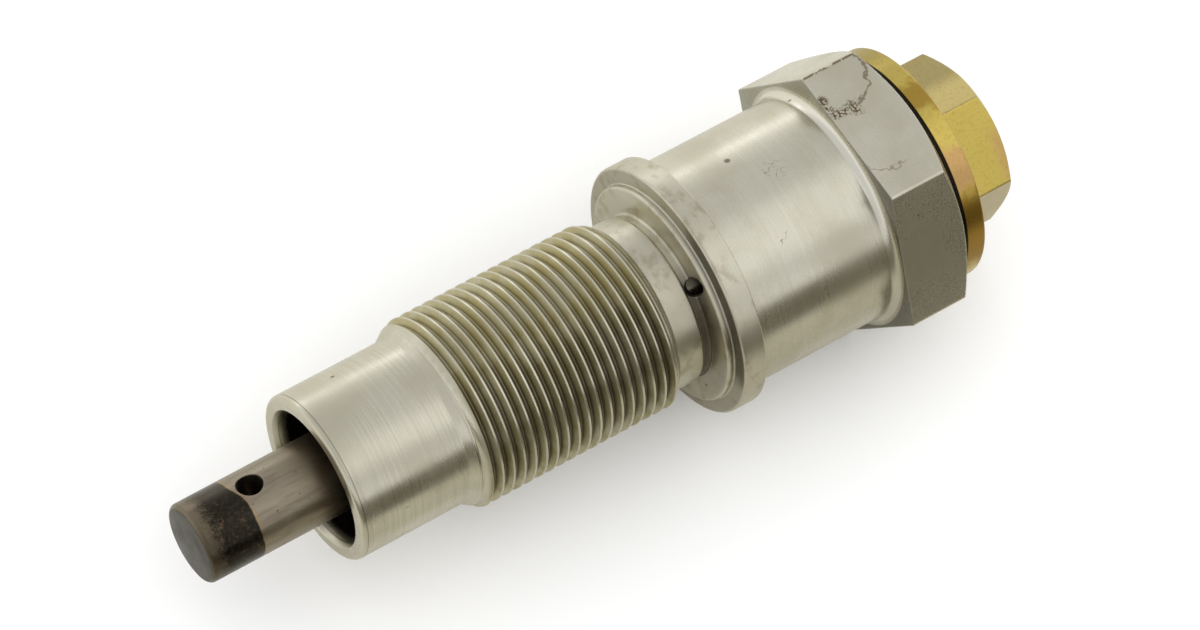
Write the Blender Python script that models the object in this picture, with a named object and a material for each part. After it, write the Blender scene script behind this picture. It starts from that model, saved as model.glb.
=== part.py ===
"""Hydraulic timing chain tensioner, screwed into an engine block by an M24 x 1.5 thread.

Metres, +Z up. The tensioner lies on one flat of its large hexagon and on its flange, with its
axis along +X, from the closing plug to the tip of the plunger. Stations are measured along the
axis from the front face of the large hexagon, and angles about it from +Z towards +Y.
"""

import math

import bmesh
import bpy
from mathutils import Matrix, Vector

MM = 0.001

# Clearances
SEAT_GAP = 0.3 * MM
SLIDING_CLEARANCE = 0.06 * MM
SLEEVE_CLEARANCE = 0.05 * MM
SEAL_CLEARANCE = 0.12 * MM
BALL_CLEARANCE = 0.1 * MM
PLUG_THREAD_CLEARANCE = 0.3 * MM

# Housing, outside, from the hexagon to the nose
HEX_FLATS = 32.0 * MM
HEX_LENGTH = 9.0 * MM
HEX_CHAMFER_INSET = 0.3 * MM
CHAMFER_ANGLE = math.radians(30.0)
BODY_LENGTH = 19.8 * MM
BODY_FILLET = 1.1 * MM
RIM_DIAMETER = 32.0 * MM
RIM_WIDTH = 3.1 * MM
RIM_CHAMFER = 0.4 * MM
RIM_OVER_BODY = 1.5 * MM
FLANGE_FACE_WIDTH = 2.1 * MM
PILOT_HEIGHT = 0.9 * MM
PILOT_BEVEL = 0.3 * MM
NECK_LENGTH = 4.6 * MM
UNDERCUT_DEPTH = 0.35 * MM
UNDERCUT_WIDTH = 1.4 * MM
OIL_HOLE_DIAMETER = 2.4 * MM
OIL_HOLE_ANGLE = math.radians(27.0)
OIL_HOLE_TILT = math.radians(30.0)
THREAD_DIAMETER = 24.0 * MM
THREAD_PITCH = 1.5 * MM
THREAD_DEPTH_RATIO = 0.6134
THREAD_LENGTH = 28.9 * MM
THREAD_OVER_NECK = 1.25 * MM
THREAD_OVER_NOSE = 1.5 * MM
THREAD_REAR_CHAMFER = 1.2 * MM
THREAD_FRONT_CHAMFER = 2.3 * MM
NOSE_LENGTH = 14.6 * MM
NOSE_EDGE_RADIUS = 0.6 * MM

# Housing, inside
PLUG_THREAD_DIAMETER = 22.0 * MM
SEAL_POCKET_DEPTH = 1.2 * MM
MAIN_BORE_DIAMETER = 16.0 * MM
NOSE_WALL = 2.1 * MM
NOSE_BORE_CHAMFER = 0.3 * MM
NOSE_BORE_DEPTH = 15.9 * MM
NOSE_LAND = 2.0 * MM
NOSE_RELIEF = 0.4 * MM

# Closing plug and its seal
PLUG_HEX_FLATS = 19.0 * MM
PLUG_HEX_LENGTH = 7.7 * MM
PLUG_HEX_CHAMFER_INSET = 0.1 * MM
PLUG_HEX_ANGLE = math.radians(5.2)
PLUG_COLLAR_DIAMETER = 30.0 * MM
PLUG_COLLAR_THICKNESS = 3.0 * MM
PLUG_COLLAR_BEVEL = 0.25 * MM
PLUG_COLLAR_GAP = 0.4 * MM
PLUG_SHANK_LENGTH = 12.5 * MM
PLUG_HOLLOW_DIAMETER = 16.0 * MM
PLUG_HOLLOW_DEPTH = 11.0 * MM
PLUG_DRILLING_DIAMETER = 9.0 * MM
PLUG_DRILLING_DEPTH = 18.5 * MM
SEAL_RING_WIDTH = 1.2 * MM

# Pressure sleeve, its seal and the stop ring
SLEEVE_WALL = 1.89 * MM
SLEEVE_FLANGE_CLEARANCE = 0.6 * MM
SLEEVE_FLANGE_THICKNESS = 2.3 * MM
SLEEVE_FLOOR = 3.6 * MM
SLEEVE_SETBACK = 2.0 * MM
INLET_DIAMETER = 3.0 * MM
FEED_GROOVE_DEPTH = 0.7 * MM
FEED_GROOVE_WIDTH = 2.8 * MM
FEED_SLOT_WIDTH = 3.0 * MM
O_RING_SECTION = 0.95 * MM
O_RING_GROOVE_WIDTH = 1.6 * MM
O_RING_SETBACK = 5.6 * MM
STOP_RING_THICKNESS = 1.1 * MM
STOP_RING_DEPTH = 0.7 * MM
STOP_RING_SETBACK = 2.3 * MM
STOP_RING_OPENING = math.radians(50.0)

# Check valve
VALVE_DISC_THICKNESS = 2.4 * MM
VALVE_DISC_CLEARANCE = 0.3 * MM
VALVE_HOLE_DIAMETER = 2.4 * MM
BALL_DIAMETER = 4.0 * MM
CAGE_LENGTH = 8.0 * MM
CAGE_DIAMETER = 8.4 * MM
CAGE_WALL = 0.8 * MM
CAGE_FLANGE_THICKNESS = 0.9 * MM
CAGE_WINDOW_WIDTH = 2.2 * MM
CAGE_WINDOW_COUNT = 3
CAGE_OUTLET_DIAMETER = 2.0 * MM
VALVE_WIRE = 0.4 * MM
VALVE_SPRING_DIAMETER = 3.0 * MM
VALVE_SPRING_TURNS = 4

# Filler pin and main spring
FILLER_HEAD_INSET = 0.05 * MM
FILLER_HEAD_THICKNESS = 1.2 * MM
FILLER_PIN_CLEARANCE = 0.65 * MM
FILLER_PIN_LENGTH = 23.0 * MM
FILLER_PIN_CHAMFER = 0.55 * MM
MAIN_WIRE = 1.1 * MM
MAIN_SPRING_CLEARANCE = 0.35 * MM
MAIN_SPRING_TURNS = 12

# Closed end turns of both springs, in turns, and their pitch as a multiple of the wire
CLOSED_TURNS = 0.75
OPENING_TURNS = 0.5
CLOSED_PITCH = 1.06

# Plunger
PISTON_SHOULDER = 1.0 * MM
PLUNGER_REACH = 16.5 * MM
PLUNGER_EDGE_RADIUS = 0.6 * MM
PLUNGER_TRAVEL = 14.0 * MM
TRAVEL_RESERVE = 1.0 * MM
PISTON_CHAMFER = 0.5 * MM
SPRING_POCKET_WALL = 0.7 * MM
SPRING_POCKET_DEPTH = 27.5 * MM
OIL_BORE_DIAMETER = 3.2 * MM
CROSS_HOLE_DIAMETER = 3.0 * MM
CROSS_HOLE_SETBACK = 8.3 * MM
CROSS_HOLE_ANGLE = math.radians(-15.0)

# Facets
TURNED_STEPS = 32
INNER_STEPS = 24
DRILL_STEPS = 16
SECTION_STEPS = 6
ARC_STEPS = 3
SPRING_STEPS = 10
SHARP_ANGLE = math.radians(28.0)
WELD = 0.002 * MM
SLIVER = 0.0002 * MM
CUT_MARGIN = 2.0 * MM
OVERLAP = 0.05 * MM

# Stations along the axis
HEX_REAR = -HEX_LENGTH
RIM_REAR = BODY_LENGTH
RIM_FRONT = RIM_REAR + RIM_WIDTH
NECK_REAR = RIM_FRONT + PILOT_HEIGHT
THREAD_REAR = NECK_REAR + NECK_LENGTH
NOSE_REAR = THREAD_REAR + THREAD_LENGTH
NOSE_FRONT = NOSE_REAR + NOSE_LENGTH

COLLAR_FRONT = HEX_REAR - PLUG_COLLAR_GAP
COLLAR_REAR = COLLAR_FRONT - PLUG_COLLAR_THICKNESS
PLUG_REAR = COLLAR_REAR - PLUG_HEX_LENGTH
SHANK_FRONT = COLLAR_FRONT + PLUG_SHANK_LENGTH

SLEEVE_REAR = SHANK_FRONT + SEAT_GAP
SLEEVE_SHOULDER = SLEEVE_REAR + SLEEVE_FLANGE_THICKNESS
BORE_STEP = SLEEVE_SHOULDER + SEAT_GAP
CHAMBER_REAR = SLEEVE_REAR + SLEEVE_FLOOR
MAIN_BORE_FRONT = NOSE_FRONT - NOSE_BORE_DEPTH
SLEEVE_FRONT = MAIN_BORE_FRONT - SLEEVE_SETBACK
STOP_FRONT = SLEEVE_FRONT - STOP_RING_SETBACK
STOP_REAR = STOP_FRONT - STOP_RING_THICKNESS

DISC_REAR = CHAMBER_REAR + SEAT_GAP
DISC_FRONT = DISC_REAR + VALVE_DISC_THICKNESS
CAGE_REAR = DISC_FRONT + SEAT_GAP
CAGE_FRONT = CAGE_REAR + CAGE_LENGTH
FILLER_REAR = CAGE_FRONT + SEAT_GAP
FILLER_SHOULDER = FILLER_REAR + FILLER_HEAD_THICKNESS

PISTON_FRONT = STOP_REAR - SEAT_GAP
PISTON_REAR = FILLER_SHOULDER + TRAVEL_RESERVE + PLUNGER_TRAVEL
PLUNGER_TIP = NOSE_FRONT + PLUNGER_REACH
POCKET_FRONT = PISTON_REAR + SPRING_POCKET_DEPTH
CROSS_HOLE_STATION = PLUNGER_TIP - CROSS_HOLE_SETBACK

# Radii that follow from the steps and the fits
BODY_RADIUS = RIM_DIAMETER / 2 - RIM_OVER_BODY
PILOT_RADIUS = RIM_DIAMETER / 2 - FLANGE_FACE_WIDTH
THREAD_RADIUS = THREAD_DIAMETER / 2
THREAD_DEPTH = THREAD_DEPTH_RATIO * THREAD_PITCH
NECK_RADIUS = THREAD_RADIUS - THREAD_OVER_NECK
NOSE_RADIUS = THREAD_RADIUS - THREAD_OVER_NOSE
NOSE_BORE_RADIUS = NOSE_RADIUS - NOSE_WALL
PLUG_BORE_RADIUS = PLUG_THREAD_DIAMETER / 2
SHANK_RADIUS = PLUG_BORE_RADIUS - PLUG_THREAD_CLEARANCE
SEAL_POCKET_RADIUS = PLUG_BORE_RADIUS + SEAL_RING_WIDTH + 2 * SEAT_GAP
MAIN_BORE_RADIUS = MAIN_BORE_DIAMETER / 2
SLEEVE_FLANGE_RADIUS = PLUG_BORE_RADIUS - SLEEVE_FLANGE_CLEARANCE
SLEEVE_RADIUS = MAIN_BORE_RADIUS - SLEEVE_CLEARANCE
CHAMBER_RADIUS = SLEEVE_RADIUS - SLEEVE_WALL
PISTON_RADIUS = CHAMBER_RADIUS - SLIDING_CLEARANCE
PLUNGER_RADIUS = PISTON_RADIUS - PISTON_SHOULDER
POCKET_RADIUS = PLUNGER_RADIUS - SPRING_POCKET_WALL
MAIN_SPRING_RADIUS = POCKET_RADIUS - MAIN_SPRING_CLEARANCE
FILLER_HEAD_RADIUS = MAIN_SPRING_RADIUS - FILLER_HEAD_INSET
FILLER_PIN_RADIUS = MAIN_SPRING_RADIUS - MAIN_WIRE - FILLER_PIN_CLEARANCE
AXIS_HEIGHT = RIM_DIAMETER / 2
MIDDLE = (PLUG_REAR + PLUNGER_TIP) / 2

# The oil hole leans forwards and opens in the corner between the neck and the pilot
OIL_HOLE_REAR = NECK_REAR - NECK_RADIUS * math.tan(OIL_HOLE_TILT)
FEED_STATION = OIL_HOLE_REAR + SLEEVE_RADIUS * math.tan(OIL_HOLE_TILT)


def clear_scene():
    """Start from an empty scene."""
    for old in list(bpy.data.objects):
        bpy.data.objects.remove(old, do_unlink=True)


def make_material(name, color, metallic, roughness):
    """A Principled material."""
    material = bpy.data.materials.new(name)
    material.use_nodes = True
    shader = material.node_tree.nodes["Principled BSDF"]
    shader.inputs["Base Color"].default_value = (*color, 1.0)
    shader.inputs["Metallic"].default_value = metallic
    shader.inputs["Roughness"].default_value = roughness
    return material


def seal_mesh(bm):
    """Weld the seams and turn all faces outwards."""
    bmesh.ops.remove_doubles(bm, verts=bm.verts, dist=WELD)
    bmesh.ops.dissolve_degenerate(bm, edges=bm.edges, dist=SLIVER)
    bmesh.ops.recalc_face_normals(bm, faces=bm.faces)


def add_object(name, bm, parent, station=0.0, material=None):
    """Turn a bmesh whose X values are stations into an object with its origin on the axis."""
    bmesh.ops.translate(bm, verts=bm.verts, vec=(-station, 0.0, 0.0))
    mesh = bpy.data.meshes.new(name)
    bm.to_mesh(mesh)
    bm.free()
    mesh.shade_smooth()
    mesh.set_sharp_from_angle(angle=SHARP_ANGLE)
    item = bpy.data.objects.new(name, mesh)
    bpy.context.collection.objects.link(item)
    item.parent = parent
    item.location = (station, 0.0, 0.0)
    if material:
        mesh.materials.append(material)
    return item


def add_tool(name, bm, parent):
    """An object that only shapes others."""
    tool = add_object(name, bm, parent)
    tool.hide_render = True
    tool.display_type = 'WIRE'
    return tool


def combine(item, operation, tool):
    """Add a Boolean modifier."""
    modifier = item.modifiers.new(f"{operation.lower()}_{tool.name}", 'BOOLEAN')
    modifier.operation = operation
    modifier.solver = 'EXACT'
    modifier.object = tool


def corner_arc(centre, radius, start, end):
    """Points of an arc in the profile plane; angles in degrees from +X towards +r."""
    points = []
    for step in range(ARC_STEPS + 1):
        angle = math.radians(start + (end - start) * step / ARC_STEPS)
        points.append((centre[0] + radius * math.cos(angle), centre[1] + radius * math.sin(angle)))
    return points


def turned(profile, steps=TURNED_STEPS, ring=False, sweep=math.tau):
    """Spin a profile of (station, radius) points about the axis.

    A ring's profile is a closed loop. Any other profile starts and ends on the axis.
    """
    bm = bmesh.new()
    corners = [bm.verts.new((x, 0.0, radius)) for x, radius in profile]
    edges = [bm.edges.new(pair) for pair in zip(corners, corners[1:])]
    if ring:
        edges.append(bm.edges.new((corners[-1], corners[0])))
    full = sweep > math.tau - 0.001
    shape = edges if full else [bm.faces.new(corners)]
    bmesh.ops.spin(bm, geom=shape, cent=(0, 0, 0), axis=(1, 0, 0), angle=sweep, steps=steps,
                   use_merge=full)
    seal_mesh(bm)
    return bm


def about_axis(angle):
    """Unit vector square to the axis, at an angle from +Z towards +Y."""
    return Vector((0.0, math.sin(angle), math.cos(angle)))


def hexagon(flats, rear, front, corner_angle):
    """A hexagonal prism along the axis."""
    bm = bmesh.new()
    bmesh.ops.create_cone(bm, cap_ends=True, segments=6, radius1=flats / math.sqrt(3),
                          radius2=flats / math.sqrt(3), depth=front - rear)
    upright = Matrix.Rotation(math.pi / 2, 4, 'Y')
    bmesh.ops.transform(bm, matrix=upright, verts=bm.verts)
    first = bm.verts[:][0].co
    turn = corner_angle - math.atan2(first.y, first.z)
    bmesh.ops.rotate(bm, matrix=Matrix.Rotation(-turn, 3, 'X'), verts=bm.verts)
    bmesh.ops.translate(bm, vec=((rear + front) / 2, 0.0, 0.0), verts=bm.verts)
    return bm


def radial_drill(diameter, station, angle, inner, outer, tilt=0.0):
    """A cylinder that points out from a station on the axis, tilted forwards."""
    bm = bmesh.new()
    bmesh.ops.create_cone(bm, cap_ends=True, segments=DRILL_STEPS, radius1=diameter / 2,
                          radius2=diameter / 2, depth=outer - inner)
    bmesh.ops.translate(bm, vec=(0.0, 0.0, (inner + outer) / 2), verts=bm.verts)
    direction = Matrix.Rotation(-angle, 3, 'X') @ Matrix.Rotation(tilt, 3, 'Y')
    bmesh.ops.rotate(bm, matrix=direction, verts=bm.verts)
    bmesh.ops.translate(bm, vec=(station, 0.0, 0.0), verts=bm.verts)
    return bm


def screw_rod(rear, front):
    """A capped length of right-hand metric thread: one pitch of its outline, spun and shifted."""
    major = THREAD_RADIUS
    minor = major - THREAD_DEPTH
    crest = THREAD_PITCH / 8
    root = THREAD_PITCH / 4
    flank = (THREAD_PITCH - crest - root) / 2
    outline = [
        (0.0, minor),
        (root, minor),
        (root + flank, major),
        (root + flank + crest, major),
        (THREAD_PITCH, minor),
    ]
    turns = math.ceil((front - rear) / THREAD_PITCH) + 3
    start = rear - 2 * THREAD_PITCH
    bm = bmesh.new()
    points = [bm.verts.new((start + x, 0.0, radius)) for x, radius in outline]
    edges = [bm.edges.new(pair) for pair in zip(points, points[1:])]
    shift = THREAD_PITCH / TURNED_STEPS
    bmesh.ops.spin(bm, geom=edges, cent=(0, 0, 0), axis=(1, 0, 0), dvec=(shift, 0, 0),
                   angle=math.tau * turns, steps=TURNED_STEPS * turns)
    bmesh.ops.remove_doubles(bm, verts=bm.verts, dist=WELD)
    for station, outward in ((rear, -1.0), (front, 1.0)):
        whole = bm.verts[:] + bm.edges[:] + bm.faces[:]
        bmesh.ops.bisect_plane(bm, geom=whole, plane_co=(station, 0, 0), plane_no=(outward, 0, 0),
                               clear_outer=True)
        rim = [edge for edge in bm.edges if edge.is_boundary
               and all(abs(vert.co.x - station) < WELD for vert in edge.verts)]
        bmesh.ops.edgeloop_fill(bm, edges=rim)
    bmesh.ops.recalc_face_normals(bm, faces=bm.faces)
    return bm


def hex_chamfer_profile(rear, front, inset, flats):
    """Profile of the cone that rounds the rear corners of a hexagon."""
    corner = flats / math.sqrt(3) + MM
    face = flats / 2 - inset
    length = (corner - face) * math.tan(CHAMFER_ANGLE)
    return [(rear, 0.0), (rear, face), (rear + length, corner), (front, corner), (front, 0.0)]


def housing_profile():
    """Outside of the housing, with a plain core under the thread."""
    rim = RIM_DIAMETER / 2
    undercut = NECK_RADIUS - UNDERCUT_DEPTH
    undercut_end = NECK_REAR + UNDERCUT_WIDTH
    core = min(NOSE_RADIUS, NECK_RADIUS) - 2 * SEAT_GAP
    fillet_centre = (BODY_FILLET - OVERLAP, BODY_RADIUS + BODY_FILLET)
    edge_centre = (NOSE_FRONT - NOSE_EDGE_RADIUS, NOSE_RADIUS - NOSE_EDGE_RADIUS)
    profile = [(HEX_REAR / 2, 0.0), (HEX_REAR / 2, BODY_RADIUS + BODY_FILLET)]
    profile += corner_arc(fillet_centre, BODY_FILLET, 180, 270)
    profile += [
        (RIM_REAR, BODY_RADIUS),
        (RIM_REAR, rim),
        (RIM_FRONT - RIM_CHAMFER, rim),
        (RIM_FRONT, rim - RIM_CHAMFER),
        (RIM_FRONT, PILOT_RADIUS),
        (NECK_REAR - PILOT_BEVEL, PILOT_RADIUS),
        (NECK_REAR, PILOT_RADIUS - PILOT_BEVEL),
        (NECK_REAR, undercut),
        (undercut_end - UNDERCUT_DEPTH, undercut),
        (undercut_end, NECK_RADIUS),
        (THREAD_REAR + SEAT_GAP, NECK_RADIUS),
        (THREAD_REAR + SEAT_GAP, core),
        (NOSE_REAR - SEAT_GAP, core),
        (NOSE_REAR - SEAT_GAP, NOSE_RADIUS),
    ]
    profile += corner_arc(edge_centre, NOSE_EDGE_RADIUS, 90, 0)
    profile += [(NOSE_FRONT, 0.0)]
    return profile


def thread_envelope_profile():
    """Chamfers at both ends of the thread; its ends lie inside the neck and the nose."""
    clear = THREAD_RADIUS + SEAT_GAP
    rear_slope = THREAD_OVER_NECK / THREAD_REAR_CHAMFER
    front_slope = THREAD_OVER_NOSE / THREAD_FRONT_CHAMFER
    sink = SEAT_GAP
    return [
        (THREAD_REAR - sink, 0.0),
        (THREAD_REAR - sink, NECK_RADIUS - rear_slope * sink),
        (THREAD_REAR + (clear - NECK_RADIUS) / rear_slope, clear),
        (NOSE_REAR - (clear - NOSE_RADIUS) / front_slope, clear),
        (NOSE_REAR + sink, NOSE_RADIUS - front_slope * sink),
        (NOSE_REAR + sink, 0.0),
    ]


def housing_bore_profile():
    """Inside of the housing, from the seal pocket to the mouth of the nose."""
    relief = NOSE_BORE_RADIUS + NOSE_RELIEF
    land_rear = NOSE_FRONT - NOSE_LAND
    return [
        (HEX_REAR - CUT_MARGIN, 0.0),
        (HEX_REAR - CUT_MARGIN, SEAL_POCKET_RADIUS),
        (HEX_REAR + SEAL_POCKET_DEPTH, SEAL_POCKET_RADIUS),
        (HEX_REAR + SEAL_POCKET_DEPTH, PLUG_BORE_RADIUS),
        (BORE_STEP, PLUG_BORE_RADIUS),
        (BORE_STEP, MAIN_BORE_RADIUS),
        (MAIN_BORE_FRONT, MAIN_BORE_RADIUS),
        (MAIN_BORE_FRONT, relief),
        (land_rear, relief),
        (land_rear, NOSE_BORE_RADIUS),
        (NOSE_FRONT - NOSE_BORE_CHAMFER, NOSE_BORE_RADIUS),
        (NOSE_FRONT, NOSE_BORE_RADIUS + NOSE_BORE_CHAMFER),
        (NOSE_FRONT + CUT_MARGIN, NOSE_BORE_RADIUS + NOSE_BORE_CHAMFER),
        (NOSE_FRONT + CUT_MARGIN, 0.0),
    ]


def make_housing(parent):
    """The turned housing: hexagon, body, flange with pilot, neck, thread and nose."""
    hex_tool = add_tool("housing_hex", hexagon(HEX_FLATS, HEX_REAR, 0.0, math.radians(30)), parent)
    chamfer = turned(hex_chamfer_profile(HEX_REAR, SEAT_GAP, HEX_CHAMFER_INSET, HEX_FLATS))
    combine(hex_tool, 'INTERSECT', add_tool("housing_hex_chamfer", chamfer, parent))

    thread_bm = screw_rod(THREAD_REAR - 2 * SEAT_GAP, NOSE_REAR + 2 * SEAT_GAP)
    thread_tool = add_tool("housing_thread", thread_bm, parent)
    envelope = turned(thread_envelope_profile())
    combine(thread_tool, 'INTERSECT', add_tool("housing_thread_envelope", envelope, parent))

    oil_drill = radial_drill(OIL_HOLE_DIAMETER, OIL_HOLE_REAR, OIL_HOLE_ANGLE,
                             MAIN_BORE_RADIUS / 2, RIM_DIAMETER / 2 + CUT_MARGIN, OIL_HOLE_TILT)

    plated = make_material("plated_steel", (0.62, 0.59, 0.50), 0.9, 0.38)
    housing = add_object("housing", turned(housing_profile()), parent, material=plated)
    combine(housing, 'UNION', hex_tool)
    combine(housing, 'UNION', thread_tool)
    bore_tool = add_tool("housing_bore", turned(housing_bore_profile()), parent)
    combine(housing, 'DIFFERENCE', bore_tool)
    combine(housing, 'DIFFERENCE', add_tool("housing_oil_hole", oil_drill, parent))
    return housing


def make_closing_plug(parent):
    """The yellow plug: hexagon head, collar and hollow shank."""
    collar = PLUG_COLLAR_DIAMETER / 2
    bevel = PLUG_COLLAR_BEVEL
    profile = [
        (COLLAR_REAR, 0.0),
        (COLLAR_REAR, collar - bevel),
        (COLLAR_REAR + bevel, collar),
        (COLLAR_FRONT - bevel, collar),
        (COLLAR_FRONT, collar - bevel),
        (COLLAR_FRONT, SHANK_RADIUS),
        (SHANK_FRONT - bevel, SHANK_RADIUS),
        (SHANK_FRONT, SHANK_RADIUS - bevel),
        (SHANK_FRONT, 0.0),
    ]
    hollow = [
        (SHANK_FRONT - PLUG_DRILLING_DEPTH, 0.0),
        (SHANK_FRONT - PLUG_DRILLING_DEPTH, PLUG_DRILLING_DIAMETER / 2),
        (SHANK_FRONT - PLUG_HOLLOW_DEPTH, PLUG_DRILLING_DIAMETER / 2),
        (SHANK_FRONT - PLUG_HOLLOW_DEPTH, PLUG_HOLLOW_DIAMETER / 2),
        (SHANK_FRONT + CUT_MARGIN, PLUG_HOLLOW_DIAMETER / 2),
        (SHANK_FRONT + CUT_MARGIN, 0.0),
    ]
    head_front = COLLAR_REAR + PLUG_COLLAR_THICKNESS / 2
    head_bm = hexagon(PLUG_HEX_FLATS, PLUG_REAR, head_front, PLUG_HEX_ANGLE)
    head_tool = add_tool("plug_hex", head_bm, parent)
    chamfer = turned(hex_chamfer_profile(PLUG_REAR, COLLAR_FRONT, PLUG_HEX_CHAMFER_INSET,
                                         PLUG_HEX_FLATS))
    combine(head_tool, 'INTERSECT', add_tool("plug_hex_chamfer", chamfer, parent))

    chromated = make_material("yellow_chromate", (0.56, 0.42, 0.12), 0.85, 0.35)
    plug = add_object("closing_plug", turned(profile), parent, COLLAR_FRONT, chromated)
    combine(plug, 'UNION', head_tool)
    combine(plug, 'DIFFERENCE', add_tool("plug_hollow", turned(hollow), parent))
    return plug


def make_plug_seal_ring(parent):
    """The flat ring under the collar of the plug, in its pocket."""
    rear = COLLAR_FRONT + SEAT_GAP
    front = HEX_REAR + SEAL_POCKET_DEPTH - SEAT_GAP
    inner = PLUG_BORE_RADIUS + SEAT_GAP
    outer = inner + SEAL_RING_WIDTH
    copper = make_material("seal_copper", (0.55, 0.30, 0.18), 0.9, 0.45)
    profile = [(rear, inner), (front, inner), (front, outer), (rear, outer)]
    return add_object("plug_seal_ring", turned(profile, ring=True), parent, rear, copper)


def sleeve_profile():
    """Outside and bore of the pressure sleeve, as one closed loop."""
    flange = SLEEVE_FLANGE_RADIUS
    feed_floor = SLEEVE_RADIUS - FEED_GROOVE_DEPTH
    feed_rear = FEED_STATION - FEED_GROOVE_WIDTH / 2
    feed_front = FEED_STATION + FEED_GROOVE_WIDTH / 2
    seal_floor = MAIN_BORE_RADIUS - O_RING_SECTION - 2 * SEAL_CLEARANCE
    seal_rear = FEED_STATION + O_RING_SETBACK
    seal_front = seal_rear + O_RING_GROOVE_WIDTH
    inlet = INLET_DIAMETER / 2
    stop_floor = CHAMBER_RADIUS + STOP_RING_DEPTH + SEAT_GAP
    groove_rear = STOP_REAR - SEAT_GAP / 2
    groove_front = STOP_FRONT + SEAT_GAP / 2
    return [
        (SLEEVE_REAR, inlet),
        (SLEEVE_REAR, flange),
        (SLEEVE_SHOULDER, flange),
        (SLEEVE_SHOULDER, SLEEVE_RADIUS),
        (feed_rear, SLEEVE_RADIUS),
        (feed_rear, feed_floor),
        (feed_front, feed_floor),
        (feed_front, SLEEVE_RADIUS),
        (seal_rear, SLEEVE_RADIUS),
        (seal_rear, seal_floor),
        (seal_front, seal_floor),
        (seal_front, SLEEVE_RADIUS),
        (SLEEVE_FRONT, SLEEVE_RADIUS),
        (SLEEVE_FRONT, CHAMBER_RADIUS),
        (groove_front, CHAMBER_RADIUS),
        (groove_front, stop_floor),
        (groove_rear, stop_floor),
        (groove_rear, CHAMBER_RADIUS),
        (CHAMBER_REAR, CHAMBER_RADIUS),
        (CHAMBER_REAR, inlet),
    ]


def make_pressure_sleeve(parent):
    """The cylinder liner, clamped by the plug, with a slot that feeds oil to its rear."""
    slot = bmesh.new()
    bmesh.ops.create_cube(slot, size=1.0)
    slot_floor = SLEEVE_RADIUS - FEED_GROOVE_DEPTH
    slot_top = PLUG_BORE_RADIUS + CUT_MARGIN
    slot_rear = SLEEVE_REAR - CUT_MARGIN
    size = Vector((FEED_STATION - slot_rear, FEED_SLOT_WIDTH, slot_top - slot_floor))
    bmesh.ops.scale(slot, vec=size, verts=slot.verts)
    middle = Vector(((FEED_STATION + slot_rear) / 2, 0.0, (slot_top + slot_floor) / 2))
    bmesh.ops.translate(slot, vec=middle, verts=slot.verts)

    steel = make_material("ground_steel", (0.50, 0.50, 0.50), 1.0, 0.3)
    sleeve_bm = turned(sleeve_profile(), INNER_STEPS, ring=True)
    sleeve = add_object("pressure_sleeve", sleeve_bm, parent, SLEEVE_REAR, steel)
    combine(sleeve, 'DIFFERENCE', add_tool("sleeve_feed_slot", slot, parent))
    return sleeve


def make_sleeve_o_ring(parent):
    """The rubber ring that seals the sleeve in the main bore."""
    station = FEED_STATION + O_RING_SETBACK + O_RING_GROOVE_WIDTH / 2
    centre = (station, MAIN_BORE_RADIUS - SEAL_CLEARANCE - O_RING_SECTION / 2)
    section = []
    for step in range(SECTION_STEPS):
        angle = math.tau * step / SECTION_STEPS
        section.append((centre[0] + O_RING_SECTION / 2 * math.cos(angle),
                        centre[1] + O_RING_SECTION / 2 * math.sin(angle)))
    rubber = make_material("nitrile_rubber", (0.02, 0.02, 0.02), 0.0, 0.6)
    bm = turned(section, INNER_STEPS, ring=True)
    return add_object("sleeve_o_ring", bm, parent, station, rubber)


def make_stop_ring(parent):
    """The open spring ring that holds the piston in the sleeve."""
    inner = PLUNGER_RADIUS + SEAT_GAP
    outer = CHAMBER_RADIUS + STOP_RING_DEPTH
    profile = [(STOP_REAR, inner), (STOP_FRONT, inner), (STOP_FRONT, outer), (STOP_REAR, outer)]
    bm = turned(profile, steps=INNER_STEPS, ring=True, sweep=math.tau - STOP_RING_OPENING)
    bmesh.ops.rotate(bm, matrix=Matrix.Rotation(STOP_RING_OPENING / 2, 3, 'X'), verts=bm.verts)
    spring_steel = make_material("spring_steel", (0.20, 0.20, 0.21), 1.0, 0.4)
    return add_object("stop_ring", bm, parent, STOP_REAR, spring_steel)


def seat_apex():
    """Station where the 45 degree cone of the valve seat would meet the axis."""
    return DISC_FRONT - VALVE_HOLE_DIAMETER / 2 - VALVE_DISC_THICKNESS / 2


def ball_station():
    """Centre of the closed valve's ball, just clear of its seat."""
    return seat_apex() + (BALL_DIAMETER / 2 + BALL_CLEARANCE) * math.sqrt(2)


def make_valve_disc(parent):
    """The hardened disc with the conical seat of the check valve."""
    outer = CHAMBER_RADIUS - VALVE_DISC_CLEARANCE
    hole = VALVE_HOLE_DIAMETER / 2
    apex = seat_apex()
    profile = [
        (DISC_REAR, hole),
        (DISC_REAR, outer),
        (DISC_FRONT, outer),
        (DISC_FRONT, DISC_FRONT - apex),
        (apex + hole, hole),
    ]
    steel = make_material("valve_steel", (0.42, 0.42, 0.43), 1.0, 0.25)
    bm = turned(profile, INNER_STEPS, ring=True)
    return add_object("valve_disc", bm, parent, DISC_REAR, steel)


def make_valve_ball(parent):
    """The ball, with its origin on the axis it lifts along."""
    bm = bmesh.new()
    bmesh.ops.create_icosphere(bm, subdivisions=3, radius=BALL_DIAMETER / 2)
    station = ball_station()
    bmesh.ops.translate(bm, verts=bm.verts, vec=(station, 0, 0))
    polished = make_material("ball_steel", (0.60, 0.60, 0.62), 1.0, 0.1)
    return add_object("valve_ball", bm, parent, station, polished)


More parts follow.
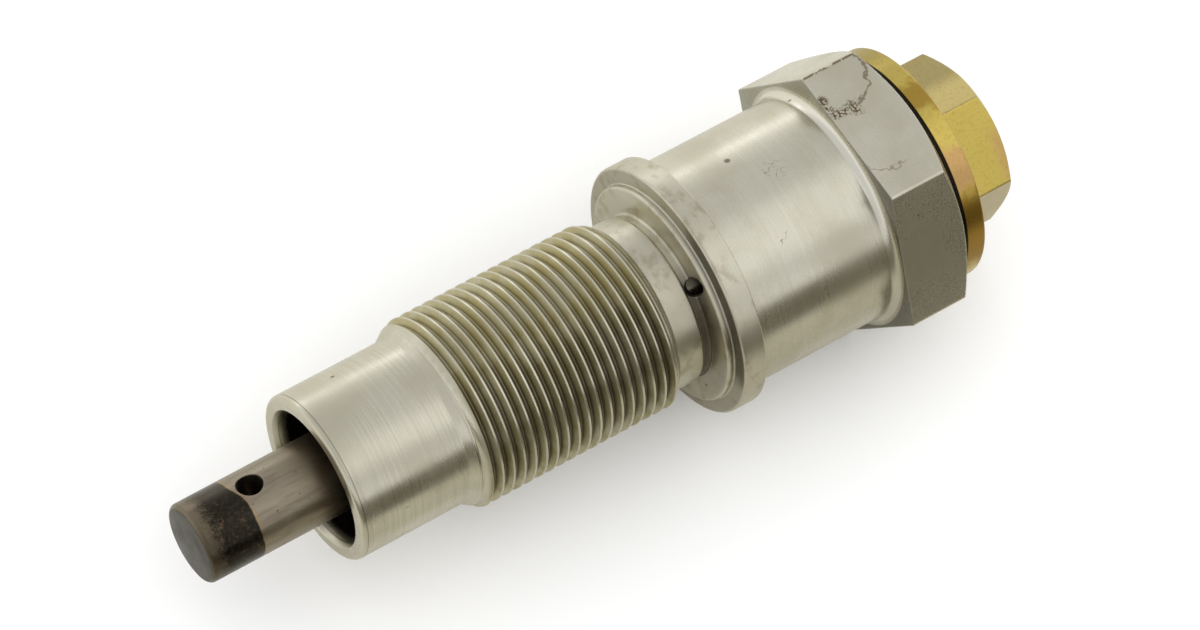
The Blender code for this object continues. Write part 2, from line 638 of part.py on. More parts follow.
def make_valve_cage(parent):
    """The pressed cap that keeps the ball: a flange, a windowed wall and a drilled front."""
    flange = CHAMBER_RADIUS - VALVE_DISC_CLEARANCE
    outer = CAGE_DIAMETER / 2
    inner = outer - CAGE_WALL
    outlet = CAGE_OUTLET_DIAMETER / 2
    flange_front = CAGE_REAR + CAGE_FLANGE_THICKNESS
    profile = [
        (CAGE_REAR, inner),
        (CAGE_REAR, flange),
        (flange_front, flange),
        (flange_front, outer),
        (CAGE_FRONT, outer),
        (CAGE_FRONT, outlet),
        (CAGE_FRONT - CAGE_WALL, outlet),
        (CAGE_FRONT - CAGE_WALL, inner),
    ]
    pressed = make_material("pressed_steel", (0.45, 0.44, 0.42), 1.0, 0.4)
    cage = add_object("valve_cage", turned(profile, INNER_STEPS, ring=True), parent,
                      CAGE_REAR, pressed)
    window_station = (flange_front + CAGE_FRONT - CAGE_WALL) / 2
    for index in range(CAGE_WINDOW_COUNT):
        drill = radial_drill(CAGE_WINDOW_WIDTH, window_station,
                             math.tau * index / CAGE_WINDOW_COUNT, inner / 2, outer + CUT_MARGIN)
        combine(cage, 'DIFFERENCE', add_tool(f"cage_window_{index + 1}", drill, parent))
    return cage


def coil_stations(rear, front, wire, turns, steps):
    """Stations along a compression spring whose first and last turns lie closed."""
    closed = wire * CLOSED_PITCH
    length = front - rear - wire
    rates = []
    for step in range(turns * steps):
        turn = (step + 0.5) / steps
        from_end = min(turn, turns - turn)
        rates.append(min(max(from_end - CLOSED_TURNS, 0.0), OPENING_TURNS) / OPENING_TURNS)
    spread = (length - closed * turns) / sum(rates)
    station = rear + wire / 2
    stations = [station]
    for rate in rates:
        station += closed / steps + spread * rate
        stations.append(station)
    return stations


def make_coil(name, parent, rear, front, outer, wire, turns, material):
    """A compression spring between two stations, as a bevelled curve."""
    radius = outer - wire / 2
    curve = bpy.data.curves.new(name, 'CURVE')
    curve.dimensions = '3D'
    curve.bevel_depth = wire / 2
    curve.bevel_resolution = 1
    curve.use_fill_caps = True
    stations = coil_stations(rear, front, wire, turns, SPRING_STEPS)
    spline = curve.splines.new('POLY')
    spline.points.add(len(stations) - 1)
    for index, station in enumerate(stations):
        side = about_axis(math.tau * index / SPRING_STEPS) * radius
        spline.points[index].co = (station - rear, side.y, side.z, 1.0)
    curve.materials.append(material)
    coil = bpy.data.objects.new(name, curve)
    bpy.context.collection.objects.link(coil)
    coil.parent = parent
    coil.location = (rear, 0.0, 0.0)
    return coil


def make_springs(parent):
    """The light spring behind the ball and the main spring behind the plunger."""
    steel = make_material("spring_wire", (0.30, 0.29, 0.28), 1.0, 0.35)
    valve_rear = ball_station() + BALL_DIAMETER / 2 + BALL_CLEARANCE
    valve_front = CAGE_FRONT - CAGE_WALL - SEAT_GAP
    make_coil("valve_spring", parent, valve_rear, valve_front, VALVE_SPRING_DIAMETER / 2,
              VALVE_WIRE, VALVE_SPRING_TURNS, steel)
    make_coil("main_spring", parent, FILLER_SHOULDER + SEAT_GAP, POCKET_FRONT - SEAT_GAP,
              MAIN_SPRING_RADIUS, MAIN_WIRE, MAIN_SPRING_TURNS, steel)


def make_filler_pin(parent):
    """The pin that takes up oil volume inside the main spring; its head carries the spring."""
    tip = FILLER_SHOULDER + FILLER_PIN_LENGTH
    chamfer = FILLER_PIN_CHAMFER
    profile = [
        (FILLER_REAR, 0.0),
        (FILLER_REAR, FILLER_HEAD_RADIUS),
        (FILLER_SHOULDER, FILLER_HEAD_RADIUS),
        (FILLER_SHOULDER, FILLER_PIN_RADIUS),
        (tip - chamfer, FILLER_PIN_RADIUS),
        (tip, FILLER_PIN_RADIUS - chamfer),
        (tip, 0.0),
    ]
    steel = make_material("pin_steel", (0.38, 0.37, 0.36), 1.0, 0.45)
    return add_object("filler_pin", turned(profile, INNER_STEPS), parent, FILLER_REAR, steel)


def make_plunger(parent):
    """The plunger: piston, rod and rounded tip, drilled from the rear and across."""
    rod = PLUNGER_RADIUS
    piston = PISTON_RADIUS
    pocket = POCKET_RADIUS
    oil = OIL_BORE_DIAMETER / 2
    edge_centre = (PLUNGER_TIP - PLUNGER_EDGE_RADIUS, rod - PLUNGER_EDGE_RADIUS)
    drilling_front = CROSS_HOLE_STATION + CROSS_HOLE_DIAMETER
    profile = [
        (PISTON_REAR, pocket + PISTON_CHAMFER),
        (PISTON_REAR, piston - PISTON_CHAMFER),
        (PISTON_REAR + PISTON_CHAMFER, piston),
        (PISTON_FRONT, piston),
        (PISTON_FRONT, rod),
    ]
    profile += corner_arc(edge_centre, PLUNGER_EDGE_RADIUS, 90, 0)
    profile += [(PLUNGER_TIP, 0.0)]
    drilling = [
        (drilling_front, 0.0),
        (drilling_front - oil, oil),
        (POCKET_FRONT, oil),
        (POCKET_FRONT, pocket),
        (PISTON_REAR + PISTON_CHAMFER, pocket),
    ]
    profile = drilling + profile
    profile.reverse()

    hardened = make_material("plunger_steel", (0.30, 0.27, 0.23), 0.9, 0.42)
    plunger = add_object("plunger", turned(profile, INNER_STEPS), parent, PISTON_FRONT, hardened)
    drill = radial_drill(CROSS_HOLE_DIAMETER, CROSS_HOLE_STATION, CROSS_HOLE_ANGLE, 0.0,
                         rod + CUT_MARGIN)
    combine(plunger, 'DIFFERENCE', add_tool("plunger_cross_hole", drill, parent))
    return plunger


def main():
    """Build the tensioner, centred over the origin and resting on z = 0."""
    clear_scene()
    axis = bpy.data.objects.new("tensioner_axis", None)
    bpy.context.collection.objects.link(axis)
    axis.location = (-MIDDLE, 0.0, AXIS_HEIGHT)
    make_housing(axis)
    make_closing_plug(axis)
    make_plug_seal_ring(axis)
    make_pressure_sleeve(axis)
    make_sleeve_o_ring(axis)
    make_stop_ring(axis)
    make_valve_disc(axis)
    make_valve_ball(axis)
    make_valve_cage(axis)
    make_springs(axis)
    make_filler_pin(axis)
    make_plunger(axis)
    bpy.context.view_layer.update()


main()
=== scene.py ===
"""Hydraulic timing chain tensioner, dressed for a studio picture.

Metres, +Z up. The tensioner lies along +X. Stations are measured along its axis from the front
face of the large hexagon towards the tip of the plunger, and angles about the axis are measured
from +Z towards +Y. Every new piece is shaped on its own axis and then laid in its place.
"""

import math

import bmesh
import bpy
from mathutils import Matrix, Vector


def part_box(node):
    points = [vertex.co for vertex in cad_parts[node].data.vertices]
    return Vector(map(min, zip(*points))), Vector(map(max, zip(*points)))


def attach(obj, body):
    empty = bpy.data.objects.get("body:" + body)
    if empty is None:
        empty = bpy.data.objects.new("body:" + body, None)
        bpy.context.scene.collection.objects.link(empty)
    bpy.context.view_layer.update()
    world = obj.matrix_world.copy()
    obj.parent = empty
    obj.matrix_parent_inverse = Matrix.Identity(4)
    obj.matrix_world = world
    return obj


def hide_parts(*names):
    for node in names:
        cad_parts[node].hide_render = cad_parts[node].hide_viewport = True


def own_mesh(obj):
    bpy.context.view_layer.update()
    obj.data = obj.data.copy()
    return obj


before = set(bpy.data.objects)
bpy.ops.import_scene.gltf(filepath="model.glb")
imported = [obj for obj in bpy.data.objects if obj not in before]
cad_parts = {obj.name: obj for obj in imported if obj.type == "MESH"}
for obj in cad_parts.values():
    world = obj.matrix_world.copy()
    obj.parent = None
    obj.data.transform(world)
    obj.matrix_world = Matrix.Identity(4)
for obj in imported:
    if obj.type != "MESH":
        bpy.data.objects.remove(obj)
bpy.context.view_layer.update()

bl_info = {
    "name": "Timing Chain Tensioner",
    "version": (1, 0, 0),
    "blender": (4, 5, 0),
    "location": "3D View > Sidebar > Tensioner",
    "description": "Builds a hydraulic timing chain tensioner and the studio it is shown in",
    "category": "Object",
}

MM = 0.001

# Stations of the shoulders, from the hexagon's front face
HEX_REAR = -9.0 * MM
BODY_FRONT = 19.8 * MM
RIM_FRONT = 22.9 * MM
PILOT_FRONT = 23.8 * MM
THREAD_REAR = 28.4 * MM
THREAD_FRONT = 57.3 * MM
NOSE_FRONT = 71.9 * MM
PLUG_REAR = -20.1 * MM
COLLAR_REAR = -12.4 * MM
COLLAR_FRONT = -9.4 * MM
SHANK_FRONT = 3.1 * MM
BORE_STEP = 6.0 * MM
MAIN_BORE_FRONT = 56.0 * MM
PISTON_REAR = 34.5 * MM
PISTON_FRONT = 50.3 * MM
POCKET_FRONT = 62.0 * MM
PLUNGER_TIP = 88.4 * MM
CROSS_HOLE_STATION = 80.1 * MM

# The axis in the frame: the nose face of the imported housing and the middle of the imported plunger
NOSE_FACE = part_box("housing")[1].x
PLUNGER_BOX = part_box("plunger")
AXIS_HEIGHT = (PLUNGER_BOX[0].z + PLUNGER_BOX[1].z) / 2
AXIS_START = Vector((NOSE_FACE - NOSE_FRONT, 0.0, AXIS_HEIGHT))

SWEEP_STEPS = 144
THREAD_STEPS = 96
HOLE_STEPS = 48
ARC_STEPS = 6
SINK = 0.3 * MM
MARGIN = 2.0 * MM
WELD = 0.001 * MM
SHARP_ANGLE = math.radians(32.0)


# Properties

class TensionerSizes(bpy.types.PropertyGroup):
    """Sizes of the tensioner that a user would change."""

    hex_flats: bpy.props.FloatProperty(
        name="Hexagon", description="Width across the flats of the large hexagon",
        default=32.0 * MM, min=20.0 * MM, unit='LENGTH', subtype='DISTANCE')
    body_diameter: bpy.props.FloatProperty(
        name="Body", description="Diameter of the turned body",
        default=29.0 * MM, min=20.0 * MM, unit='LENGTH', subtype='DISTANCE')
    rim_diameter: bpy.props.FloatProperty(
        name="Flange", description="Diameter of the flange",
        default=32.0 * MM, min=20.0 * MM, unit='LENGTH', subtype='DISTANCE')
    pilot_diameter: bpy.props.FloatProperty(
        name="Pilot", description="Diameter of the step on the flange's face",
        default=27.8 * MM, min=20.0 * MM, unit='LENGTH', subtype='DISTANCE')
    neck_diameter: bpy.props.FloatProperty(
        name="Neck", description="Diameter between the flange and the thread",
        default=21.5 * MM, min=10.0 * MM, unit='LENGTH', subtype='DISTANCE')
    thread_diameter: bpy.props.FloatProperty(
        name="Thread", description="Outside diameter of the thread",
        default=24.0 * MM, min=10.0 * MM, unit='LENGTH', subtype='DISTANCE')
    thread_pitch: bpy.props.FloatProperty(
        name="Pitch", description="Distance from one turn of the thread to the next",
        default=1.5 * MM, min=0.5 * MM, unit='LENGTH', subtype='DISTANCE')
    nose_diameter: bpy.props.FloatProperty(
        name="Nose", description="Diameter of the plain nose",
        default=21.0 * MM, min=10.0 * MM, unit='LENGTH', subtype='DISTANCE')
    nose_bore: bpy.props.FloatProperty(
        name="Mouth", description="Diameter of the bore at the nose",
        default=16.8 * MM, min=5.0 * MM, unit='LENGTH', subtype='DISTANCE')
    plug_flats: bpy.props.FloatProperty(
        name="Plug hexagon", description="Width across the flats of the closing plug",
        default=19.0 * MM, min=10.0 * MM, unit='LENGTH', subtype='DISTANCE')
    collar_diameter: bpy.props.FloatProperty(
        name="Plug collar", description="Diameter of the closing plug's collar",
        default=30.0 * MM, min=10.0 * MM, unit='LENGTH', subtype='DISTANCE')
    plunger_diameter: bpy.props.FloatProperty(
        name="Plunger", description="Diameter of the plunger",
        default=10.0 * MM, min=4.0 * MM, unit='LENGTH', subtype='DISTANCE')
    edge_bevel: bpy.props.FloatProperty(
        name="Edge break", description="Width of the broken edges",
        default=0.2 * MM, min=0.05 * MM, unit='LENGTH', subtype='DISTANCE')


class TensionerFinish(bpy.types.PropertyGroup):
    """Colours of the tensioner and the brightness of its rubbed edges; some of these serve as
    painted sheen, shade and highlight.
    """

    plating: bpy.props.FloatVectorProperty(
        name="Plating", description="Warm grey of the plated housing",
        default=(0.67, 0.645, 0.545), min=0.0, max=1.0, size=3, subtype='COLOR')
    plating_shade: bpy.props.FloatVectorProperty(
        name="Dull plating", description="Duller clouds in the plating",
        default=(0.55, 0.52, 0.41), min=0.0, max=1.0, size=3, subtype='COLOR')
    thread_oil: bpy.props.FloatVectorProperty(
        name="Oil film", description="Olive film of old oil on the thread and round the flange",
        default=(0.52, 0.47, 0.27), min=0.0, max=1.0, size=3, subtype='COLOR')
    # Also used as painted shade: near black on the thread's lower flanks and roots, the flange's
    # face, the groove, the pilot, the bore and the corner at the flange.
    dirt_and_shade: bpy.props.FloatVectorProperty(
        name="Dirt", description="Brown black of old oil in corners, pits and stains",
        default=(0.05, 0.037, 0.02), min=0.0, max=1.0, size=3, subtype='COLOR')
    chromate: bpy.props.FloatVectorProperty(
        name="Chromate", description="Yellow of the closing plug",
        default=(0.60, 0.465, 0.115), min=0.0, max=1.0, size=3, subtype='COLOR')
    # Painted sheen, laid on round the collar and on the head's rear edge.
    chromate_blush: bpy.props.FloatVectorProperty(
        name="Chromate blush", description="Orange-pink sheen of the chromate",
        default=(0.56, 0.35, 0.14), min=0.0, max=1.0, size=3, subtype='COLOR')
    # Also painted sheen, laid on in bands round the collar; its brown flecks are real.
    chromate_brown_and_sheen: bpy.props.FloatVectorProperty(
        name="Chromate brown", description="Brown gold of the thickest chromate",
        default=(0.37, 0.22, 0.037), min=0.0, max=1.0, size=3, subtype='COLOR')
    # Painted shade on the plug head's lower flats, and mixed into the tone of its other flats.
    chromate_olive_shade: bpy.props.FloatVectorProperty(
        name="Chromate olive", description="Pale olive grey of the thinnest chromate",
        default=(0.47, 0.40, 0.22), min=0.0, max=1.0, size=3, subtype='COLOR')
    plunger_steel: bpy.props.FloatVectorProperty(
        name="Plunger", description="Ground steel of the plunger",
        default=(0.30, 0.26, 0.195), min=0.0, max=1.0, size=3, subtype='COLOR')
    heat_band: bpy.props.FloatVectorProperty(
        name="Heat band", description="Dark band burnt in by hardening",
        default=(0.016, 0.015, 0.011), min=0.0, max=1.0, size=3, subtype='COLOR')
    straw: bpy.props.FloatVectorProperty(
        name="Straw fringe", description="Straw yellow beside the dark band",
        default=(0.42, 0.24, 0.06), min=0.0, max=1.0, size=3, subtype='COLOR')
    # Rubbed edges, brightened further as a painted highlight.
    wear_and_highlight: bpy.props.FloatProperty(
        name="Edge wear", description="How bright the rubbed edges are",
        default=0.6, min=0.0, max=1.0, subtype='FACTOR')


class TensionerStudio(bpy.types.PropertyGroup):
    """Light and floor of the studio."""

    floor_colour: bpy.props.FloatVectorProperty(
        name="Floor", description="Colour of the floor",
        default=(0.985, 0.985, 0.98), min=0.0, max=1.0, size=3, subtype='COLOR')
    room_light: bpy.props.FloatProperty(
        name="Room light", description="Strength of the even light from all round",
        default=1.18, min=0.0, soft_max=2.0)
    ceiling_level: bpy.props.FloatProperty(
        name="Ceiling", description="Brightness of the ceiling as metal mirrors it",
        default=0.7, min=0.0, max=1.0, subtype='FACTOR')
    floor_near: bpy.props.FloatVectorProperty(
        name="Mirrored near side", description="Near side of the floor as metal mirrors it",
        default=(0.76, 0.75, 0.69), min=0.0, max=1.0, size=3, subtype='COLOR')
    # Painted shade: the floor's far side as metal mirrors it.
    floor_far_shade: bpy.props.FloatVectorProperty(
        name="Mirrored far side", description="Far side of the floor as metal mirrors it",
        default=(0.54, 0.52, 0.44), min=0.0, max=1.0, size=3, subtype='COLOR')
    window_power: bpy.props.FloatProperty(
        name="Window", description="Power of the low strip light in watts",
        default=0.5, min=0.0, soft_max=20.0)
    top_power: bpy.props.FloatProperty(
        name="Soft box", description="Power of the large soft box in watts",
        default=0.75, min=0.0, soft_max=20.0)


# Mesh helpers

def revolve(outline, steps=SWEEP_STEPS, closed=False):
    """Spin an outline of (station, radius) points once about the axis."""
    bm = bmesh.new()
    corners = [bm.verts.new((x, 0.0, radius)) for x, radius in outline]
    edges = [bm.edges.new(pair) for pair in zip(corners, corners[1:])]
    if closed:
        edges.append(bm.edges.new((corners[-1], corners[0])))
    bmesh.ops.spin(bm, geom=edges, cent=(0, 0, 0), axis=(1, 0, 0), angle=math.tau, steps=steps,
                   use_merge=True)
    bmesh.ops.remove_doubles(bm, verts=bm.verts, dist=WELD)
    bmesh.ops.recalc_face_normals(bm, faces=bm.faces)
    return bm


def arc(centre, radius, start, end, steps=ARC_STEPS):
    """Points of an arc in an outline, its angles in degrees from the axis outwards."""
    points = []
    for step in range(steps + 1):
        angle = math.radians(start + (end - start) * step / steps)
        points.append((centre[0] + radius * math.cos(angle),
                       centre[1] + radius * math.sin(angle)))
    return points


def outward(angle):
    """Unit vector square to the axis."""
    return Vector((0.0, math.sin(angle), math.cos(angle)))


def hexagon(flats, rear, front, corner_angle, bevel):
    """A hexagonal prism along the axis with its six long edges broken."""
    bm = bmesh.new()
    bmesh.ops.create_cone(bm, cap_ends=True, segments=6, radius1=flats / math.sqrt(3),
                          radius2=flats / math.sqrt(3), depth=front - rear)
    bmesh.ops.rotate(bm, verts=bm.verts, matrix=Matrix.Rotation(math.pi / 2, 3, 'Y'))
    first = bm.verts[:][0].co
    turn = corner_angle - math.atan2(first.y, first.z)
    bmesh.ops.rotate(bm, verts=bm.verts, matrix=Matrix.Rotation(-turn, 3, 'X'))
    bmesh.ops.translate(bm, verts=bm.verts, vec=((rear + front) / 2, 0.0, 0.0))
    bmesh.ops.recalc_face_normals(bm, faces=bm.faces)
    length = front - rear
    corners = [edge for edge in bm.edges
               if abs(edge.verts[0].co.x - edge.verts[1].co.x) > length / 2]
    bmesh.ops.bevel(bm, geom=corners, offset=bevel, offset_type='OFFSET', affect='EDGES',
                    segments=3, profile=0.5, material=-1)
    return bm


def chamfered_hexagon(flats, rear, front, corner_angle, bevel, face):
    """A hexagon whose rear corners are turned off at 30 degrees, down to the face's radius."""
    corner = flats / math.sqrt(3) + MM
    cone = (corner - face) * math.tan(math.radians(30.0))
    end = front + SINK
    turned = [(rear, 0.0), (rear, face), (rear + cone, corner), (end, corner), (end, 0.0)]
    prism = hexagon(flats, rear, front, corner_angle, bevel)
    return combined(prism, ('INTERSECT', revolve(turned)))


def drill(outline, station, angle, tilt=0.0):
    """A turned cutter out from the axis, tilted forwards; its outline gives (height, radius)."""
    bm = revolve(outline, HOLE_STEPS)
    direction = Matrix.Rotation(-angle, 3, 'X') @ Matrix.Rotation(tilt - math.pi / 2, 3, 'Y')
    bmesh.ops.rotate(bm, verts=bm.verts, matrix=direction)
    bmesh.ops.translate(bm, verts=bm.verts, vec=(station, 0.0, 0.0))
    return bm


def threaded_rod(radius, pitch, rear, front):
    """A capped right-hand thread with rounded roots: one pitch of outline, spun and shifted."""
    depth = 0.6134 * pitch
    root = radius - depth
    crest_half = pitch / 16
    root_radius = 0.14 * pitch
    outline = [(0.0, root)]
    for step in (1, 2, 3):
        angle = math.radians(20.0 * step)
        outline.append((root_radius * math.sin(angle), root + root_radius * (1 - math.cos(angle))))
    outline += [(pitch / 2 - crest_half, radius), (pitch / 2 + crest_half, radius)]
    for step in (3, 2, 1):
        angle = math.radians(20.0 * step)
        outline.append((pitch - root_radius * math.sin(angle),
                        root + root_radius * (1 - math.cos(angle))))
    outline.append((pitch, root))

    turns = math.ceil((front - rear) / pitch) + 3
    start = rear - 2 * pitch
    bm = bmesh.new()
    points = [bm.verts.new((start + x, 0.0, r)) for x, r in outline]
    edges = [bm.edges.new(pair) for pair in zip(points, points[1:])]
    bmesh.ops.spin(bm, geom=edges, cent=(0, 0, 0), axis=(1, 0, 0),
                   dvec=(pitch / THREAD_STEPS, 0, 0), angle=math.tau * turns,
                   steps=THREAD_STEPS * turns)
    bmesh.ops.remove_doubles(bm, verts=bm.verts, dist=WELD)
    for station, away in ((rear, -1.0), (front, 1.0)):
        whole = bm.verts[:] + bm.edges[:] + bm.faces[:]
        bmesh.ops.bisect_plane(bm, geom=whole, plane_co=(station, 0, 0), plane_no=(away, 0, 0),
                               clear_outer=True)
        rim = [edge for edge in bm.edges if edge.is_boundary
               and all(abs(vert.co.x - station) < WELD for vert in edge.verts)]
        bmesh.ops.edgeloop_fill(bm, edges=rim)
    bmesh.ops.recalc_face_normals(bm, faces=bm.faces)
    return bm


def new_object(name, data):
    """An object in the scene."""
    item = bpy.data.objects.new(name, data)
    bpy.context.scene.collection.objects.link(item)
    return item


def mesh_object(name, bm):
    """An object made from a bmesh, which is freed."""
    mesh = bpy.data.meshes.new(name)
    bm.to_mesh(mesh)
    bm.free()
    return new_object(name, mesh)


def combined(base, *steps):
    """The base after Boolean steps, each an operation and the other solid."""
    host = mesh_object("working", base)
    helpers = [host]
    for operation, other in steps:
        helper = mesh_object("working", other)
        helpers.append(helper)
        modifier = host.modifiers.new(operation, 'BOOLEAN')
        modifier.operation = operation
        modifier.solver = 'EXACT'
        modifier.object = helper
    bpy.context.view_layer.update()
    result = bmesh.new()
    result.from_object(host, bpy.context.evaluated_depsgraph_get())
    for helper in helpers:
        mesh = helper.data
        bpy.data.objects.remove(helper)
        bpy.data.meshes.remove(mesh)
    bmesh.ops.remove_doubles(result, verts=result.verts, dist=WELD)
    if not result.faces:
        raise RuntimeError("a Boolean step left nothing")
    return result


def place_piece(name, bm, body, material, nodes=()):
    """Lay a finished solid on its axis in the frame and let it ride on its body."""
    bmesh.ops.translate(bm, verts=bm.verts, vec=AXIS_START)
    piece = mesh_object(name, bm)
    piece.data.shade_smooth()
    piece.data.set_sharp_from_angle(angle=SHARP_ANGLE)
    piece.data.materials.append(material)
    shading = piece.modifiers.new("even shading", 'WEIGHTED_NORMAL')
    shading.keep_sharp = True
    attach(piece, body)
    if nodes:
        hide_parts(*nodes)
    return piece


def shortening_spring(node, material):
    """A spring copied from its imported part, laid on the axis and made to ride on the housing."""
    bm = bmesh.new()
    bm.from_mesh(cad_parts[node].data)
    bmesh.ops.remove_doubles(bm, verts=bm.verts, dist=WELD)
    bmesh.ops.recalc_face_normals(bm, faces=bm.faces)
    bmesh.ops.translate(bm, verts=bm.verts, vec=-AXIS_START)
    piece = place_piece(node + "_wire", bm, "housing", material, (node,))
    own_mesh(piece)


# Material helper

def feed(tree, socket, value):
    """Link a socket or set its constant."""
    if isinstance(value, bpy.types.NodeSocket):
        tree.links.new(value, socket)
    elif socket.type == 'RGBA' and not isinstance(value, float):
        socket.default_value = (*value[:3], 1.0)
    else:
        socket.default_value = value


def add_node(tree, kind, inputs=None, **settings):
    """A new node with its settings, and its inputs linked or set."""
    node = tree.nodes.new("ShaderNode" + kind)
    for key, value in settings.items():
        setattr(node, key, value)
    for key, value in (inputs or {}).items():
        feed(tree, node.inputs[key], value)
    return node


class Finish:
    """One material's node tree, with coordinates in millimetres on the tensioner's axis."""

    def __init__(self, name, metallic=1.0):
        self.material = bpy.data.materials.new(name)
        self.material.use_nodes = True
        self.tree = self.material.node_tree
        self.shader = self.tree.nodes["Principled BSDF"]
        self.shader.inputs["Metallic"].default_value = metallic
        self.place = self.node("TexCoord").outputs["Object"]
        self.place = self.stretched(1 / MM, 1 / MM, 1 / MM, -AXIS_START / MM)
        split = self.node("SeparateXYZ", {"Vector": self.place})
        self.station, self.side, self.rise = split.outputs
        squares = self.sum(self.product(self.side, self.side), self.product(self.rise, self.rise))
        self.radius = self.math('SQRT', squares)
        self.angle = self.math('DEGREES', self.math('ARCTAN2', self.side, self.rise))

    def node(self, kind, inputs=None, **settings):
        """A new node in this material."""
        return add_node(self.tree, kind, inputs, **settings)

    def math(self, operation, *values, clamp=False):
        """A Math node."""
        node = self.node("Math", dict(enumerate(values)), operation=operation, use_clamp=clamp)
        return node.outputs["Value"]

    def product(self, first, second):
        """One value times the other."""
        return self.math('MULTIPLY', first, second)

    def sum(self, first, second, clamp=False):
        """The two values added."""
        return self.math('ADD', first, second, clamp=clamp)

    def less(self, first, second, clamp=False):
        """The first value less the second."""
        return self.math('SUBTRACT', first, second, clamp=clamp)

    def most(self, first, second):
        """The larger of the two values."""
        return self.math('MAXIMUM', first, second)

    def mix(self, factor, first, second, blend='MIX'):
        """A colour Mix node."""
        node = self.node("Mix", {0: factor, 6: first, 7: second}, data_type='RGBA',
                         blend_type=blend)
        return node.outputs[2]

    def fade(self, value, start, end, low=0.0, high=1.0):
        """A smooth step from low at start to high at end."""
        inputs = {"Value": value, "From Min": start, "From Max": end, "To Min": low,
                  "To Max": high}
        return self.node("MapRange", inputs, interpolation_type='SMOOTHSTEP').outputs["Result"]

    def window(self, value, start, end, soft):
        """1 between start and end, 0 outside, with soft ends."""
        rising = self.fade(value, start - soft, start + soft)
        falling = self.fade(value, end - soft, end + soft, 1.0, 0.0)
        return self.product(rising, falling)

    def noise(self, vector, scale, detail=3.0, roughness=0.55, distortion=0.0):
        """Noise around 0.5."""
        inputs = {"Vector": vector, "Scale": scale, "Detail": detail, "Roughness": roughness,
                  "Distortion": distortion}
        return self.node("TexNoise", inputs, noise_dimensions='3D').outputs["Fac"]

    def cells(self, vector, scale):
        """Distance to the nearest of scattered points."""
        return self.node("TexVoronoi", {"Vector": vector, "Scale": scale}).outputs["Distance"]

    def stretched(self, x, y, z, shift=(0.0, 0.0, 0.0)):
        """The place, scaled by an amount along each direction and then shifted."""
        inputs = {"Vector": self.place, "Location": shift, "Scale": (x, y, z)}
        return self.node("Mapping", inputs).outputs["Vector"]

    def distance(self, point):
        """Distance in millimetres from a point on the tensioner."""
        node = self.node("VectorMath", {0: self.place, 1: point}, operation='DISTANCE')
        return node.outputs["Value"]

    def turned_grain(self, pitch, wobble=0.008):
        """Noise that runs round the axis, as a lathe tool leaves it."""
        lines = self.node("CombineXYZ", {0: self.math('DIVIDE', self.station, pitch),
                                         1: self.math('DIVIDE', self.radius, pitch),
                                         2: self.product(self.angle, wobble)})
        return self.noise(lines.outputs["Vector"], 1.0, 2.0)

    def round_edges(self, radius):
        """Keep a normal that runs smoothly over the edges."""
        self.rounded_normal = self.node("Bevel", {"Radius": radius}, samples=6).outputs["Normal"]

    def worn_and_highlit_edges(self, radius, strength):
        """Brightness of rubbed edges, which also stands as a painted highlight, from how far a
        rounded normal turns from the true one.
        """
        self.round_edges(radius)
        normals = {0: self.rounded_normal, 1: self.node("NewGeometry").outputs["Normal"]}
        dot = self.node("VectorMath", normals, operation='DOT_PRODUCT')
        turned = self.fade(dot.outputs["Value"], 0.995, 0.9)
        return self.product(turned, strength)

    def bump(self, height, depth):
        """A bumped normal over the rounded one: height 0 to 1, depth in metres."""
        inputs = {"Strength": 1.0, "Distance": depth, "Height": height,
                  "Normal": self.rounded_normal}
        return self.node("Bump", inputs).outputs["Normal"]

    def finish(self, colour, roughness, normal):
        """Feed the shader and return the material."""
        for key, value in (("Base Color", colour), ("Roughness", roughness), ("Normal", normal)):
            feed(self.tree, self.shader.inputs[key], value)
        return self.material


def on_axis(station, angle_degrees, radius):
    """A point in millimetres on the tensioner's axis system."""
    direction = outward(math.radians(angle_degrees))
    return (station, direction.y * radius, direction.z * radius)


